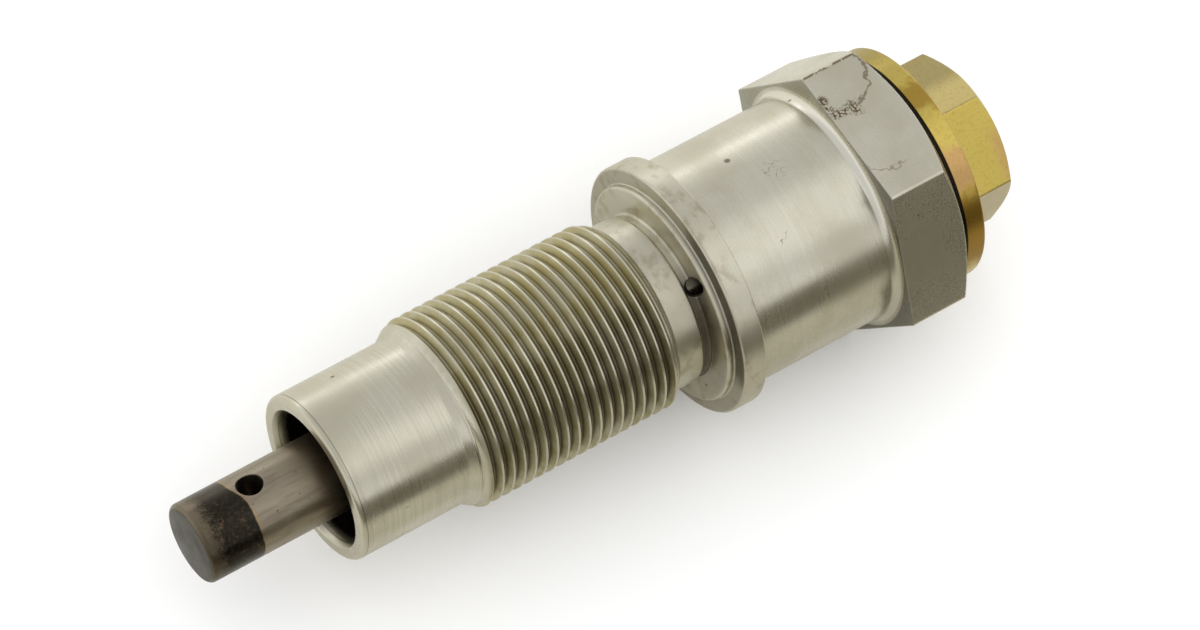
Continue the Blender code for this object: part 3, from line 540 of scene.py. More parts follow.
def plated_steel(finish):
    """Satin plated steel with turning lines, old oil, pits, scratches and marks of dried liquid;
    with painted shade on the hexagon's face, the thread and the flange's corners, and painted
    highlights on the fillet and on the rubbed edges.
    """
    f = Finish("plated_steel")
    cloud = f.noise(f.stretched(0.12, 0.12, 0.12), 1.0, 4.0)
    speckle = f.noise(f.stretched(1.6, 1.6, 1.6), 1.0, 3.0)
    wander = f.less(f.noise(f.place, 0.6, 3.0), 0.5)
    broad = f.turned_grain(1.1)
    lines = f.turned_grain(0.3)
    fine = f.turned_grain(0.14)
    nose = f.window(f.station, 57.4, 72.4, 0.15)
    colour = f.mix(f.fade(cloud, 0.35, 0.7), finish.plating, finish.plating_shade)
    colour = f.mix(f.fade(broad, 0.3, 0.75, 0.0, 0.18), colour, finish.plating_shade)
    lined = f.product(f.fade(lines, 0.42, 0.62), f.fade(nose, 0.0, 1.0, 0.2, 0.65))
    colour = f.mix(lined, colour, finish.plating_shade)
    colour = f.mix(f.fade(speckle, 0.62, 0.8, 0.0, 0.35), colour, finish.plating_shade)
    grit = f.noise(f.place, 5.0, 2.0)
    colour = f.mix(f.fade(grit, 0.45, 0.7, 0.0, 0.3), colour, finish.plating_shade)
    # Painted highlight: a pale ring on the fillet where the hexagon meets the body, strongest on its
    # upper side.
    painted_fillet_highlight = f.product(f.window(f.station, 0.05, 1.0, 0.12), f.fade(f.radius, 15.7, 15.5))
    painted_fillet_highlight = f.product(painted_fillet_highlight, f.fade(f.angle, 56.0, 20.0, 0.1, 0.42))
    colour = f.mix(painted_fillet_highlight, colour, (0.98, 0.96, 0.88))
    # Painted shade: the outer part of the hexagon's front face darkened, more on its lower side.
    front = f.product(f.window(f.station, -0.06, 0.06, 0.02), f.fade(f.radius, 15.55, 15.7))
    painted_face_shade = f.fade(f.angle, -20.0, 30.0, 0.45, 0.75)
    colour = f.mix(f.product(front, painted_face_shade), colour, (0.12, 0.115, 0.09))
    tarnish = f.window(f.station, 19.6, 29.2, 0.1)
    mottle = f.noise(f.stretched(0.5, 0.35, 0.35), 1.0, 5.0, 0.62)
    dull = f.product(tarnish, f.fade(mottle, 0.35, 0.6, 0.25, 0.6))
    colour = f.mix(dull, colour, finish.plating_shade)
    smudge = f.product(tarnish, f.fade(mottle, 0.52, 0.66, 0.0, 0.4))
    colour = f.mix(smudge, colour, (0.30, 0.245, 0.15))
    colour, film = oil_and_painted_shade(f, finish, colour, cloud)
    colour, pits = marks(f, finish, colour, wander)
    colour = f.mix(dried_stain(f, wander, speckle), colour, (0.13, 0.085, 0.04))
    threaded = f.window(f.station, 28.4, 57.0, 0.2)
    # Rubbed edges, brightened further as a painted highlight; finer on the thread.
    wear_and_highlight = f.worn_and_highlit_edges(f.fade(threaded, 0.0, 1.0, 0.25 * MM, 0.05 * MM), finish.wear_and_highlight)
    least = f.fade(threaded, 0.0, 1.0, 1.0, 0.35)
    # On the thread the brightened crests come and go in patches.
    rubbed = f.fade(f.noise(f.stretched(0.9, 0.35, 0.35), 1.0, 3.0), 0.38, 0.6, least, 1.0)
    wear_and_highlight = f.product(wear_and_highlight, rubbed)
    colour = f.mix(wear_and_highlight, colour, (0.84, 0.82, 0.75))

    roughness = f.sum(f.fade(cloud, 0.3, 0.7, 0.24, 0.31), f.product(f.less(fine, 0.5), 0.12))
    roughness = f.sum(roughness, f.product(film, 0.2))
    roughness = f.sum(roughness, f.product(tarnish, 0.06))
    height = f.sum(f.product(fine, 0.3), f.product(broad, 0.25))
    height = f.sum(height, f.product(lines, f.fade(nose, 0.0, 1.0, 0.3, 0.9)))
    height = f.less(height, f.product(pits, 2.0))
    normal = f.bump(height, 0.006 * MM)
    return f.finish(colour, roughness, normal)


def oil_and_painted_shade(f, finish, colour, cloud):
    """Old oil, olive on the thread's flanks and darker in its roots, with painted shade, nearly
    black, down the flanks' lower side, in the roots, on the flange's face, in the groove, on the
    pilot and in the bore; also two thin dark lines.
    """
    threaded = f.window(f.station, 29.3, 55.4, 0.35)
    flanks = f.product(threaded, f.fade(f.radius, 11.98, 11.88))
    flanks = f.product(flanks, f.fade(cloud, 0.2, 0.6, 0.8, 1.0))
    shaded = f.window(f.angle, 14.0, 100.0, 22.0)
    patches = f.fade(f.noise(f.stretched(0.3, 0.3, 0.3), 1.0, 4.0), 0.42, 0.62)
    thin_oil = f.mix(f.product(patches, 0.4), finish.thread_oil, finish.plating)
    # Painted shade: the oil on the flanks darkened on their lower side, more towards the neck.
    depth = f.product(shaded, f.fade(f.station, 50.0, 30.0, 0.36, 0.52))
    depth = f.less(depth, f.product(patches, 0.12), clamp=True)
    oil_with_painted_shade = f.mix(depth, thin_oil, finish.dirt_and_shade)
    colour = f.mix(flanks, colour, oil_with_painted_shade)
    # Old oil in the thread's roots, darkened further on their lower side as painted shade.
    roots = f.product(threaded, f.fade(f.radius, 11.5, 11.15))
    roots = f.product(roots, f.fade(shaded, 0.0, 1.0, 0.4, 0.65))
    # Painted shade in the undercut groove in front of the pilot, on its lower side.
    groove = f.product(f.window(f.station, 23.75, 25.0, 0.12), f.fade(f.radius, 10.74, 10.6))
    groove = f.product(groove, f.window(f.angle, 18.0, 150.0, 14.0))
    # Painted shade on the pilot's front face, on its lower side.
    pilot = f.product(f.window(f.station, 23.76, 23.9, 0.02), f.fade(f.radius, 13.5, 13.2))
    pilot = f.product(pilot, f.window(f.angle, 22.0, 120.0, 14.0))
    # Dirt all over the flange's face, darkened further on its lower side as painted shade.
    face = f.product(f.window(f.station, 22.8, 23.0, 0.03), f.window(f.radius, 13.95, 15.75, 0.1))
    face = f.product(face, f.fade(f.window(f.angle, 4.0, 84.0, 10.0), 0.0, 1.0, 0.3, 1.0))
    # Old oil and dirt, together with the painted shade, all to be darkened to near black.
    oil_dirt_and_painted_shade = f.sum(f.product(groove, 0.8), f.product(pilot, 0.12))
    oil_dirt_and_painted_shade = f.sum(oil_dirt_and_painted_shade, f.product(face, 0.8))
    oil_dirt_and_painted_shade = f.sum(oil_dirt_and_painted_shade, roots, clamp=True)
    # Painted shade: the nose's bore darkened to near black.
    inside = f.product(f.fade(f.radius, 8.95, 8.75), f.fade(f.station, 70.4, 69.8))
    # A thin dark line just behind the rounding of the nose's lip.
    lip_dark_line = f.window(f.station, 71.14, 71.26, 0.05)
    # Painted shade: a thin dark line in the corner where the body meets the flange.
    step = f.product(f.window(f.station, 19.6, 19.84, 0.06), f.fade(f.radius, 14.8, 14.6))
    thin = f.product(f.sum(lip_dark_line, step), 0.55)
    dark = f.most(f.most(oil_dirt_and_painted_shade, inside), thin)
    return f.mix(dark, colour, finish.dirt_and_shade), f.most(flanks, oil_dirt_and_painted_shade)


def marks(f, finish, colour, wander):
    """Pits and short crooked scratches on the body."""
    pits = f.fade(f.cells(f.place, 0.22), 0.07, 0.04)
    pits = f.product(pits, f.fade(wander, 0.02, 0.08))
    dent = f.fade(f.distance(on_axis(12.7, -22.5, 14.5)), 0.5, 0.25)
    pits = f.most(pits, dent)
    crooked = f.fade(f.math('ABSOLUTE', f.less(f.noise(f.place, 0.9, 1.0), 0.5)), 0.014, 0.005)
    near = f.fade(f.distance(on_axis(8.8, -6.0, 14.5)), 1.9, 0.9)
    far = f.fade(f.distance(on_axis(12.5, 25.2, 14.5)), 1.2, 0.6)
    scratches = f.product(crooked, f.most(near, far))
    dark = f.product(f.most(pits, scratches), 0.7)
    return f.mix(dark, colour, finish.dirt_and_shade), pits


def dried_stain(f, wander, speckle):
    """Thin brown outlines of dried liquid on the upper flat of the hexagon."""
    flat = f.product(f.fade(f.rise, 15.7, 15.85), f.fade(f.station, 0.1, 0.0))
    uneven = f.product(wander, 2.6)
    first = f.sum(f.distance((-3.2, -7.7, 16.0)), uneven)
    outline = f.fade(f.math('ABSOLUTE', f.less(first, 4.4)), 0.2, 0.05)
    blots = f.fade(f.math('ABSOLUTE', f.less(first, 4.8)), 1.3, 0.5)
    dots = f.noise(f.place, 3.0, 3.0)
    blots = f.product(blots, f.fade(dots, 0.46, 0.56))
    blots = f.product(blots, f.window(f.station, -3.9, 0.3, 0.5))
    dark_mark = f.fade(f.distance((-0.3, -5.5, 16.0)), 1.0, 0.4)
    blots = f.most(blots, f.product(dark_mark, f.fade(dots, 0.38, 0.48)))
    second = f.sum(f.distance((-3.5, 1.5, 16.0)), uneven)
    faint = f.fade(f.math('ABSOLUTE', f.less(second, 4.5)), 0.13, 0.04)
    faint = f.product(faint, f.window(f.station, -4.6, 1.0, 0.4))
    faint = f.product(faint, f.fade(f.side, 0.8, 1.6, 0.0, 0.45))
    corner = f.product(f.window(f.side, -9.4, -8.95, 0.08), f.fade(speckle, 0.44, 0.5))
    lines = f.most(f.product(outline, 0.65), f.product(blots, 0.95))
    lines = f.most(lines, f.most(faint, f.product(corner, 0.8)))
    return f.product(lines, flat)


def yellow_chromate(finish):
    """Yellow chromate over zinc, its tones laid on as painted sheen and shade: blushed and brown
    bands round the collar, a paler tone for each flat of the head, shade round the upper side
    towards -Y and at the collar's front edge.
    """
    f = Finish("yellow_chromate")
    cloud = f.noise(f.stretched(0.16, 0.16, 0.16), 1.0, 3.0)
    drift = f.noise(f.stretched(0.5, 0.4, 0.4), 1.0, 4.0, distortion=0.6)
    speckle = f.noise(f.place, 2.6, 2.0)
    fine = f.turned_grain(0.2)
    # Painted sheen: blushed and brown bands laid round the collar by angle, their edges wandering.
    wandering = f.sum(f.angle, f.product(f.less(drift, 0.5), 26.0))
    blush = f.mix(f.window(wandering, 24.0, 44.0, 5.0), finish.chromate, finish.chromate_blush)
    brown = f.most(f.window(wandering, 46.0, 92.0, 6.0),
                   f.product(f.window(wandering, -12.0, 4.0, 4.0), 0.75))
    collar = f.mix(brown, blush, finish.chromate_brown_and_sheen)
    # Painted light and shade: each flat of the head gets its own tone, tan on those towards -Y,
    # yellow on the one between 5 and 65 degrees, olive below it.
    tan = f.mix(0.55, finish.chromate, finish.chromate_olive_shade)
    head = f.mix(f.fade(f.angle, 4.9, 5.5), tan, finish.chromate)
    head = f.mix(f.fade(f.angle, 64.9, 65.5), head, finish.chromate_olive_shade)
    # Painted sheen: orange-pink along the head's rear edge, on the flat between 5 and 65 degrees.
    far_edge_sheen = f.product(f.fade(f.station, -18.0, -19.6), f.window(f.angle, 30.0, 64.0, 9.0))
    head = f.mix(f.product(far_edge_sheen, 0.7), head, finish.chromate_blush)
    colour = f.mix(f.fade(f.station, -12.5, -12.35), head, collar)
    colour = f.mix(f.fade(speckle, 0.5, 0.7, 0.0, 0.28), colour, finish.chromate_brown_and_sheen)
    # Painted shade: darker and cooler round the upper side towards -Y.
    colour = f.mix(f.fade(f.angle, -12.0, -30.0, 0.0, 0.9), colour, (0.62, 0.62, 0.66),
                   'MULTIPLY')
    # Painted shadow: near black on the collar's front edge, under the housing's hexagon.
    painted_gap_shadow = f.product(f.fade(f.station, -9.92, -9.8), f.fade(f.radius, 14.3, 14.6))
    colour = f.mix(painted_gap_shadow, colour, (0.012, 0.01, 0.008))
    # Rubbed edges, brightened further as a painted highlight.
    wear_and_highlight = f.worn_and_highlit_edges(0.25 * MM, finish.wear_and_highlight)
    colour = f.mix(wear_and_highlight, colour, (0.78, 0.70, 0.40))
    roughness = f.fade(cloud, 0.3, 0.7, 0.24, 0.33)
    normal = f.bump(f.sum(f.product(fine, 0.5), speckle), 0.006 * MM)
    return f.finish(colour, roughness, normal)


def plunger_steel(finish):
    """Ground steel with a dark hardened band, a thin straw fringe and a brown end; painted shade
    towards the nose's mouth and round the end's lower side, and a painted highlight on the band's
    upper side.
    """
    f = Finish("plunger_steel")
    cloud = f.noise(f.stretched(0.35, 0.35, 0.35), 1.0, 4.0)
    streak = f.noise(f.stretched(0.25, 2.2, 2.2), 1.0, 3.0)
    speckle = f.noise(f.place, 2.2, 3.0)
    fine = f.turned_grain(0.12)
    brown = (0.16, 0.125, 0.085)
    colour = f.mix(f.fade(streak, 0.45, 0.7, 0.0, 0.42), finish.plunger_steel, brown)
    # Painted shade: browner towards the nose's mouth.
    colour = f.mix(f.fade(f.station, 77.5, 71.5, 0.0, 0.75), colour, brown)
    colour = f.mix(f.fade(speckle, 0.68, 0.74, 0.0, 0.8), colour, finish.heat_band)

    slant = f.fade(f.angle, -30.0, 8.0, 1.0, 0.0)
    shaky = f.product(f.less(cloud, 0.5), 0.5)
    along = f.less(f.sum(f.station, shaky), slant)
    fringe = f.window(along, 81.28, 81.48, 0.08)
    patches = f.noise(f.place, 1.1, 4.0, 0.7)
    fringe = f.product(fringe, f.fade(patches, 0.4, 0.6, 0.2, 0.6))
    colour = f.mix(fringe, colour, finish.straw)
    dots = f.noise(f.place, 5.0, 3.0)
    uneven = f.product(f.less(f.sum(patches, dots), 1.0), 3.0)
    end = f.sum(f.station, uneven)
    band = f.product(f.fade(along, 81.45, 81.65), f.fade(end, 87.8, 85.6))
    # The hardened band lighter round its upper side towards -Y, as a painted highlight; real dark
    # specks and brown patches follow.
    band_tone_and_highlight = f.mix(f.fade(f.angle, -45.0, -5.0), (0.075, 0.067, 0.05), finish.heat_band)
    band_tone_and_highlight = f.mix(f.fade(speckle, 0.45, 0.62, 0.0, 0.5), band_tone_and_highlight, (0.05, 0.038, 0.026))
    band_tone_and_highlight = f.mix(f.fade(patches, 0.58, 0.66, 0.0, 0.55), band_tone_and_highlight, (0.12, 0.07, 0.035))
    ring = f.fade(f.station, 85.0, 86.0)
    # Painted shade: the brown end darker round its lower side.
    end_brown_and_shade = f.mix(f.fade(f.angle, -10.0, 35.0), (0.19, 0.155, 0.11), (0.085, 0.066, 0.042))
    colour = f.mix(f.product(ring, 0.92), colour, end_brown_and_shade)
    colour = f.mix(f.product(band, 0.96), colour, band_tone_and_highlight)
    face = f.product(f.fade(f.station, 88.2, 88.36), f.fade(f.radius, 4.75, 4.4))
    face_brown = f.mix(f.fade(cloud, 0.35, 0.7), (0.044, 0.038, 0.027), (0.03, 0.025, 0.017))
    colour = f.mix(face, colour, face_brown)
    # Rubbed edges, brightened further as a painted highlight.
    wear_and_highlight = f.worn_and_highlit_edges(0.2 * MM, finish.wear_and_highlight)
    colour = f.mix(f.product(wear_and_highlight, 0.5), colour, (0.42, 0.38, 0.32))
    roughness = f.less(f.fade(cloud, 0.3, 0.7, 0.28, 0.38), f.product(band, 0.06))
    height = f.sum(f.product(fine, 0.4), f.product(streak, 0.4))
    normal = f.bump(height, 0.006 * MM)
    return f.finish(colour, roughness, normal)


def inner_metal(name, colour, shade, roughness, pitch):
    """Metal of the inner pieces: clouded, grained round the axis, and rubbed at its edges, which are
    brightened as a painted highlight.
    """
    f = Finish(name)
    cloud = f.noise(f.stretched(0.4, 0.4, 0.4), 1.0, 4.0)
    grain = f.turned_grain(pitch)
    tone = f.mix(f.fade(cloud, 0.35, 0.7), colour, shade)
    tone = f.mix(f.fade(grain, 0.4, 0.7, 0.0, 0.3), tone, shade)
    # Rubbed edges, brightened further as a painted highlight.
    wear_and_highlight = f.worn_and_highlit_edges(0.15 * MM, 0.4)
    tone = f.mix(wear_and_highlight, tone, tuple(min(1.0, 1.5 * part) for part in colour))
    rough = f.fade(cloud, 0.3, 0.7, roughness, roughness + 0.1)
    return f.finish(tone, rough, f.bump(grain, 0.004 * MM))


def seal_rubber():
    """Black rubber with a faint bloom."""
    f = Finish("nitrile_rubber", metallic=0.0)
    cloud = f.noise(f.stretched(0.8, 0.8, 0.8), 1.0, 4.0)
    grain = f.noise(f.place, 9.0, 2.0)
    colour = f.mix(f.fade(cloud, 0.35, 0.7), (0.018, 0.018, 0.019), (0.045, 0.044, 0.042))
    f.round_edges(0.1 * MM)
    return f.finish(colour, f.fade(cloud, 0.3, 0.7, 0.5, 0.65), f.bump(grain, 0.004 * MM))


# Operators

class TENSIONER_OT_housing(bpy.types.Operator):
    """Build the plated housing: hexagon, body, flange, neck, thread and nose"""

    bl_idname = "tensioner.housing"
    bl_label = "Housing"

    def execute(self, context):
        sizes = context.scene.tensioner_sizes
        body = sizes.body_diameter / 2
        rim = sizes.rim_diameter / 2
        pilot = sizes.pilot_diameter / 2
        neck = sizes.neck_diameter / 2
        nose = sizes.nose_diameter / 2
        crest = sizes.thread_diameter / 2
        mouth = sizes.nose_bore / 2
        bevel = sizes.edge_bevel
        fillet = 1.1 * MM
        undercut = neck - 0.35 * MM
        core = nose - 2 * SINK
        tiny = 0.05 * MM

        outline = [(HEX_REAR / 2, 0.0), (HEX_REAR / 2, body + fillet)]
        outline += arc((fillet - tiny, body + fillet), fillet, 180, 270, 8)
        outline += [(BODY_FRONT - 0.1 * MM, body), (BODY_FRONT, body + 0.1 * MM)]
        outline += arc((BODY_FRONT + bevel, rim - bevel), bevel, 180, 90, 4)
        outline += arc((RIM_FRONT - 0.4 * MM, rim - 0.4 * MM), 0.4 * MM, 90, 0)
        outline += [(RIM_FRONT, pilot + 0.08 * MM), (RIM_FRONT + 0.08 * MM, pilot)]
        outline += arc((PILOT_FRONT - 0.3 * MM, pilot - 0.3 * MM), 0.3 * MM, 90, 0, 4)
        outline += arc((PILOT_FRONT + 0.35 * MM, undercut + 0.35 * MM), 0.35 * MM, 180, 270, 4)
        outline += [
            (PILOT_FRONT + 1.05 * MM, undercut),
            (PILOT_FRONT + 1.4 * MM, neck),
            (THREAD_REAR + SINK, neck),
            (THREAD_REAR + SINK, core),
            (THREAD_FRONT - SINK, core),
            (THREAD_FRONT - SINK, nose),
        ]
        outline += arc((NOSE_FRONT - 0.6 * MM, nose - 0.6 * MM), 0.6 * MM, 90, 0)
        outline += [(NOSE_FRONT, 0.0)]

        head = chamfered_hexagon(sizes.hex_flats, HEX_REAR, 0.0, math.radians(30.0), bevel,
                                 sizes.hex_flats / 2 - 0.3 * MM)

        rear_slope = (crest - neck) / (1.2 * MM)
        front_slope = (crest - nose) / (2.3 * MM)
        clear = crest + SINK
        envelope = [
            (THREAD_REAR - SINK, 0.0),
            (THREAD_REAR - SINK, neck - rear_slope * SINK),
            (THREAD_REAR + (clear - neck) / rear_slope, clear),
            (THREAD_FRONT - (clear - nose) / front_slope, clear),
            (THREAD_FRONT + SINK, nose - front_slope * SINK),
            (THREAD_FRONT + SINK, 0.0),
        ]
        rod = threaded_rod(crest, sizes.thread_pitch, THREAD_REAR - 2 * SINK,
                           THREAD_FRONT + 2 * SINK)
        thread = combined(rod, ('INTERSECT', revolve(envelope)))

        recess = 12.8 * MM
        recess_floor = HEX_REAR + 1.2 * MM
        plug_bore = 11.0 * MM
        main_bore = 8.0 * MM
        relief = mouth + 0.4 * MM
        bore = [
            (HEX_REAR - MARGIN, 0.0),
            (HEX_REAR - MARGIN, recess),
            (recess_floor, recess),
            (recess_floor, plug_bore),
            (BORE_STEP, plug_bore),
            (BORE_STEP, main_bore),
            (MAIN_BORE_FRONT, main_bore),
            (MAIN_BORE_FRONT, relief),
            (NOSE_FRONT - 2.0 * MM, relief),
            (NOSE_FRONT - 2.0 * MM, mouth),
            (NOSE_FRONT - 0.8 * MM, mouth),
            (NOSE_FRONT, mouth + 0.45 * MM),
            (NOSE_FRONT + MARGIN, mouth + 0.45 * MM),
            (NOSE_FRONT + MARGIN, 0.0),
        ]
        hole = 1.2 * MM
        hole_outline = [(4.0 * MM, 0.0), (4.0 * MM, hole), (rim + MARGIN, hole),
                        (rim + MARGIN, 0.0)]
        tilt = math.radians(30.0)
        hole_rear = PILOT_FRONT - neck * math.tan(tilt)
        solid = combined(
            revolve(outline),
            ('UNION', head),
            ('UNION', thread),
            ('DIFFERENCE', drill(hole_outline, hole_rear, math.radians(27.0), tilt)),
            ('DIFFERENCE', revolve(bore)),
        )
        material = plated_steel(context.scene.tensioner_finish)
        place_piece("housing_shell", solid, "housing", material, ("housing",))
        return {'FINISHED'}


class TENSIONER_OT_closing_plug(bpy.types.Operator):
    """Build the yellow closing plug: hexagon head, collar and hollow shank"""

    bl_idname = "tensioner.closing_plug"
    bl_label = "Closing plug"

    def execute(self, context):
        sizes = context.scene.tensioner_sizes
        collar = sizes.collar_diameter / 2
        bevel = 0.25 * MM
        shank = 10.7 * MM
        outline = [(COLLAR_REAR, 0.0)]
        outline += arc((COLLAR_REAR + bevel, collar - bevel), bevel, 180, 90, 4)
        outline += arc((COLLAR_FRONT - bevel, collar - bevel), bevel, 90, 0, 4)
        outline += [
            (COLLAR_FRONT, shank),
            (SHANK_FRONT - bevel, shank),
            (SHANK_FRONT, shank - bevel),
            (SHANK_FRONT, 0.0),
        ]
        head = chamfered_hexagon(sizes.plug_flats, PLUG_REAR, COLLAR_REAR + 1.5 * MM,
                                 math.radians(5.2), sizes.edge_bevel,
                                 sizes.plug_flats / 2 - 0.1 * MM)
        narrow, wide = 4.5 * MM, 8.0 * MM
        hollow_rear = SHANK_FRONT - 18.5 * MM
        hollow_step = SHANK_FRONT - 11.0 * MM
        hollow = [
            (hollow_rear, 0.0),
            (hollow_rear, narrow),
            (hollow_step, narrow),
            (hollow_step, wide),
            (SHANK_FRONT + MARGIN, wide),
            (SHANK_FRONT + MARGIN, 0.0),
        ]
        solid = combined(revolve(outline), ('UNION', head), ('DIFFERENCE', revolve(hollow)))
        material = yellow_chromate(context.scene.tensioner_finish)
        place_piece("plug_shell", solid, "housing", material,
                    ("closing_plug",))
        return {'FINISHED'}


class TENSIONER_OT_plunger(bpy.types.Operator):
    """Build the plunger: piston, rod, rounded tip and cross hole"""

    bl_idname = "tensioner.plunger"
    bl_label = "Plunger"

    def execute(self, context):
        sizes = context.scene.tensioner_sizes
        rod = sizes.plunger_diameter / 2
        piston = 6.0 * MM
        pocket = 4.3 * MM
        oil = 1.6 * MM
        drilled = CROSS_HOLE_STATION + 3.0 * MM
        outline = [
            (drilled, 0.0),
            (drilled - oil, oil),
            (POCKET_FRONT, oil),
            (POCKET_FRONT, pocket),
            (PISTON_REAR + 0.5 * MM, pocket),
            (PISTON_REAR, pocket + 0.5 * MM),
            (PISTON_REAR, piston - 0.5 * MM),
            (PISTON_REAR + 0.5 * MM, piston),
            (PISTON_FRONT - 0.1 * MM, piston),
            (PISTON_FRONT, piston - 0.1 * MM),
            (PISTON_FRONT, rod),
        ]
        outline += arc((PLUNGER_TIP - 0.6 * MM, rod - 0.6 * MM), 0.6 * MM, 90, 0)
        outline += [(PLUNGER_TIP, 0.0)]
        hole = 1.5 * MM
        hole_outline = [
            (0.0, 0.0),
            (0.0, hole),
            (rod - 0.35 * MM, hole),
            (rod + 0.1 * MM, hole + 0.22 * MM),
            (rod + MARGIN, hole + 0.22 * MM),
            (rod + MARGIN, 0.0),
        ]
        cutter = drill(hole_outline, CROSS_HOLE_STATION, math.radians(-15.0))
        solid = combined(revolve(outline), ('DIFFERENCE', cutter))
        material = plunger_steel(context.scene.tensioner_finish)
        place_piece("plunger_rod", solid, "plunger", material, ("plunger",))
        return {'FINISHED'}


class TENSIONER_OT_inner_parts(bpy.types.Operator):
    """Finish the sleeve, seals, check valve and filler pin, and build the springs"""

    bl_idname = "tensioner.inner_parts"
    bl_label = "Inner parts"

    def execute(self, context):
        ground = inner_metal("ground_steel", (0.55, 0.55, 0.55), (0.42, 0.41, 0.39), 0.24, 0.15)
        ball = inner_metal("ball_steel", (0.66, 0.66, 0.67), (0.58, 0.58, 0.58), 0.08, 0.4)
        copper = inner_metal("seal_copper", (0.60, 0.33, 0.20), (0.42, 0.21, 0.12), 0.32, 0.5)
        spring = inner_metal("spring_steel", (0.30, 0.29, 0.28), (0.17, 0.16, 0.15), 0.3, 0.3)
        pressed = inner_metal("pressed_steel", (0.46, 0.45, 0.42), (0.33, 0.31, 0.28), 0.32, 0.6)
        finishes = {
            "pressure_sleeve": ground,
            "valve_disc": ground,
            "valve_ball": ball,
            "plug_seal_ring": copper,
            "stop_ring": spring,
            "valve_cage": pressed,
            "filler_pin": pressed,
            "sleeve_o_ring": seal_rubber(),
        }
        for name, material in finishes.items():
            for material_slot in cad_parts[name].material_slots:
                material_slot.material = material
        shortening_spring("main_spring", spring)
        shortening_spring("valve_spring", spring)
        return {'FINISHED'}


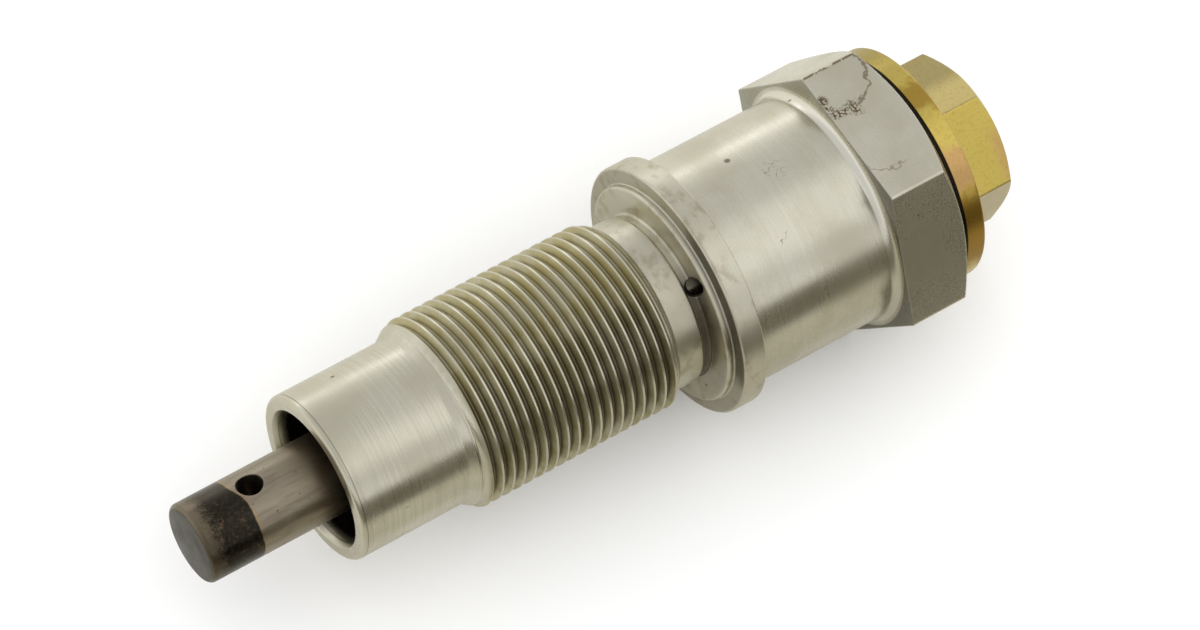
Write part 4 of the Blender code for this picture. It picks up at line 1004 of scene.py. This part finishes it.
class TENSIONER_OT_studio(bpy.types.Operator):
    """Set up the floor, the light and the camera"""

    bl_idname = "tensioner.studio"
    bl_label = "Studio"

    def execute(self, context):
        studio = context.scene.tensioner_studio
        context.scene.view_settings.view_transform = 'Standard'
        self.lay_floor(studio)
        self.light_room(context.scene, studio)
        self.hang_lamp("window_strip", studio.window_power, (1.5, 0.16), 1.0, -112.0, 9.0)
        self.hang_lamp("soft_box", studio.top_power, (0.9, 0.7), 1.0, 150.0, 54.0)
        self.stand_dark_card()
        self.place_camera(context.scene)
        return {'FINISHED'}

    def lay_floor(self, studio):
        """A plain pale floor; as metal mirrors it, greyer, with painted shade on its far side."""
        bm = bmesh.new()
        bmesh.ops.create_grid(bm, x_segments=1, y_segments=1, size=4.0)
        floor = mesh_object("floor", bm)
        material = bpy.data.materials.new("floor_paper")
        material.use_nodes = True
        tree = material.node_tree
        shader = tree.nodes["Principled BSDF"]
        shader.inputs["Roughness"].default_value = 1.0
        shader.inputs["Specular IOR Level"].default_value = 0.0
        place = add_node(tree, "TexCoord").outputs["Object"]
        across = add_node(tree, "SeparateXYZ", {"Vector": place}).outputs["Y"]
        # Painted shade: beyond 26 mm towards +Y, the floor as metal mirrors it takes the darker far
        # colour.
        shaded_far_side = add_node(tree, "MapRange",
                            {"Value": across, "From Min": 0.014, "From Max": 0.026},
                            interpolation_type='SMOOTHSTEP').outputs["Result"]
        mirrored = add_node(tree, "Mix",
                            {0: shaded_far_side, 6: studio.floor_near, 7: studio.floor_far_shade},
                            data_type='RGBA').outputs[2]
        glossy = add_node(tree, "LightPath").outputs["Is Glossy Ray"]
        colour = add_node(tree, "Mix",
                          {0: glossy, 6: studio.floor_colour, 7: mirrored}, data_type='RGBA')
        feed(tree, shader.inputs["Base Color"], colour.outputs[2])
        floor.data.materials.append(material)

    def light_room(self, scene, studio):
        """Even light for matt surfaces; white walls and a dimmer ceiling for all the rest."""
        world = bpy.data.worlds.new("room")
        world.use_nodes = True
        tree = world.node_tree
        path = add_node(tree, "LightPath").outputs
        seen = add_node(tree, "Math",
                        {0: path["Is Camera Ray"], 1: path["Is Glossy Ray"]},
                        operation='MAXIMUM').outputs["Value"]
        mirrored = add_node(tree, "Math", {0: seen, 1: path["Is Transmission Ray"]},
                            operation='MAXIMUM').outputs["Value"]
        direction = add_node(tree, "TexCoord").outputs["Generated"]
        up = add_node(tree, "SeparateXYZ", {"Vector": direction}).outputs["Z"]
        height = add_node(tree, "MapRange",
                          {"Value": up, "From Min": 0.18, "From Max": 0.62, "To Min": 1.0,
                           "To Max": studio.ceiling_level},
                          interpolation_type='SMOOTHSTEP').outputs["Result"]
        strength = add_node(tree, "Mix", {0: mirrored, 2: studio.room_light, 3: height},
                            data_type='FLOAT')
        background = tree.nodes["Background"]
        background.inputs["Color"].default_value = (1.0, 1.0, 1.0, 1.0)
        feed(tree, background.inputs["Strength"], strength.outputs[0])
        scene.world = world

    def hang_lamp(self, name, power, size, distance, azimuth, elevation):
        """A rectangular soft lamp that faces the tensioner; azimuth is from +X towards +Y."""
        lamp = bpy.data.lights.new(name, 'AREA')
        lamp.shape = 'RECTANGLE'
        lamp.size, lamp.size_y = size
        lamp.energy = power
        item = new_object(name, lamp)
        turn, lift = math.radians(azimuth), math.radians(elevation)
        towards = Vector((math.cos(turn) * math.cos(lift), math.sin(turn) * math.cos(lift),
                          math.sin(lift)))
        item.location = AXIS_START + towards * distance
        item.rotation_mode = 'QUATERNION'
        item.rotation_quaternion = towards.to_track_quat('Z', 'Y')

    def stand_dark_card(self):
        """A low dark card beside the tensioner, seen by nothing but mirrors."""
        bm = bmesh.new()
        bmesh.ops.create_grid(bm, x_segments=1, y_segments=1, size=0.5)
        bmesh.ops.scale(bm, verts=bm.verts, vec=(0.8, 0.036, 1.0))
        bmesh.ops.rotate(bm, verts=bm.verts, matrix=Matrix.Rotation(math.pi / 2, 3, 'X'))
        bmesh.ops.translate(bm, verts=bm.verts, vec=(-0.05, 0.07, 0.0195))
        card = mesh_object("dark_card", bm)
        material = bpy.data.materials.new("black_felt")
        material.use_nodes = True
        shader = material.node_tree.nodes["Principled BSDF"]
        shader.inputs["Base Color"].default_value = (0.12, 0.11, 0.075, 1.0)
        shader.inputs["Roughness"].default_value = 1.0
        card.data.materials.append(material)
        card.visible_camera = False
        card.visible_diffuse = False
        card.visible_shadow = False
        card.visible_transmission = False

    def place_camera(self, scene):
        """The photograph's view, slightly rolled."""
        camera = bpy.data.cameras.new("camera")
        camera.sensor_width = 36.0
        camera.lens = 181.44
        camera.clip_start = 0.01
        item = new_object("camera", camera)
        right = Vector((-0.82558, 0.55129, 0.12042)).normalized()
        up = Vector((-0.43929, -0.76184, 0.47605)).normalized()
        back = right.cross(up)
        turned = Matrix((right, up, back)).transposed()
        item.matrix_world = Matrix.Translation((0.246757, 0.238275, 0.629590)) @ turned.to_4x4()
        scene.camera = item


class TENSIONER_PT_sidebar(bpy.types.Panel):
    """Sizes, finishes and building steps of the tensioner"""

    bl_label = "Timing Chain Tensioner"
    bl_space_type = 'VIEW_3D'
    bl_region_type = 'UI'
    bl_category = "Tensioner"

    def draw(self, context):
        for owner, heading in (("tensioner_sizes", "Sizes"), ("tensioner_finish", "Finish"),
                               ("tensioner_studio", "Studio")):
            group = getattr(context.scene, owner)
            box = self.layout.box()
            box.label(text=heading)
            for key in group.bl_rna.properties.keys():
                if key not in {"rna_type", "name"}:
                    box.prop(group, key)
        for step in STEPS:
            self.layout.operator(step.bl_idname)


GROUPS = {
    "tensioner_sizes": TensionerSizes,
    "tensioner_finish": TensionerFinish,
    "tensioner_studio": TensionerStudio,
}
STEPS = (
    TENSIONER_OT_housing,
    TENSIONER_OT_closing_plug,
    TENSIONER_OT_plunger,
    TENSIONER_OT_inner_parts,
    TENSIONER_OT_studio,
)


def register():
    """Register the properties, the operators and the panel."""
    for owner, group in GROUPS.items():
        bpy.utils.register_class(group)
        setattr(bpy.types.Scene, owner, bpy.props.PointerProperty(type=group))
    for step in STEPS:
        bpy.utils.register_class(step)
    bpy.utils.register_class(TENSIONER_PT_sidebar)


def unregister():
    """Undo register."""
    bpy.utils.unregister_class(TENSIONER_PT_sidebar)
    for step in reversed(STEPS):
        bpy.utils.unregister_class(step)
    for owner, group in reversed(GROUPS.items()):
        delattr(bpy.types.Scene, owner)
        bpy.utils.unregister_class(group)


def main():
    """Build the tensioner and its studio."""
    register()
    bpy.ops.tensioner.housing()
    bpy.ops.tensioner.closing_plug()
    bpy.ops.tensioner.plunger()
    bpy.ops.tensioner.inner_parts()
    bpy.ops.tensioner.studio()


if __name__ == "__main__":
    main()
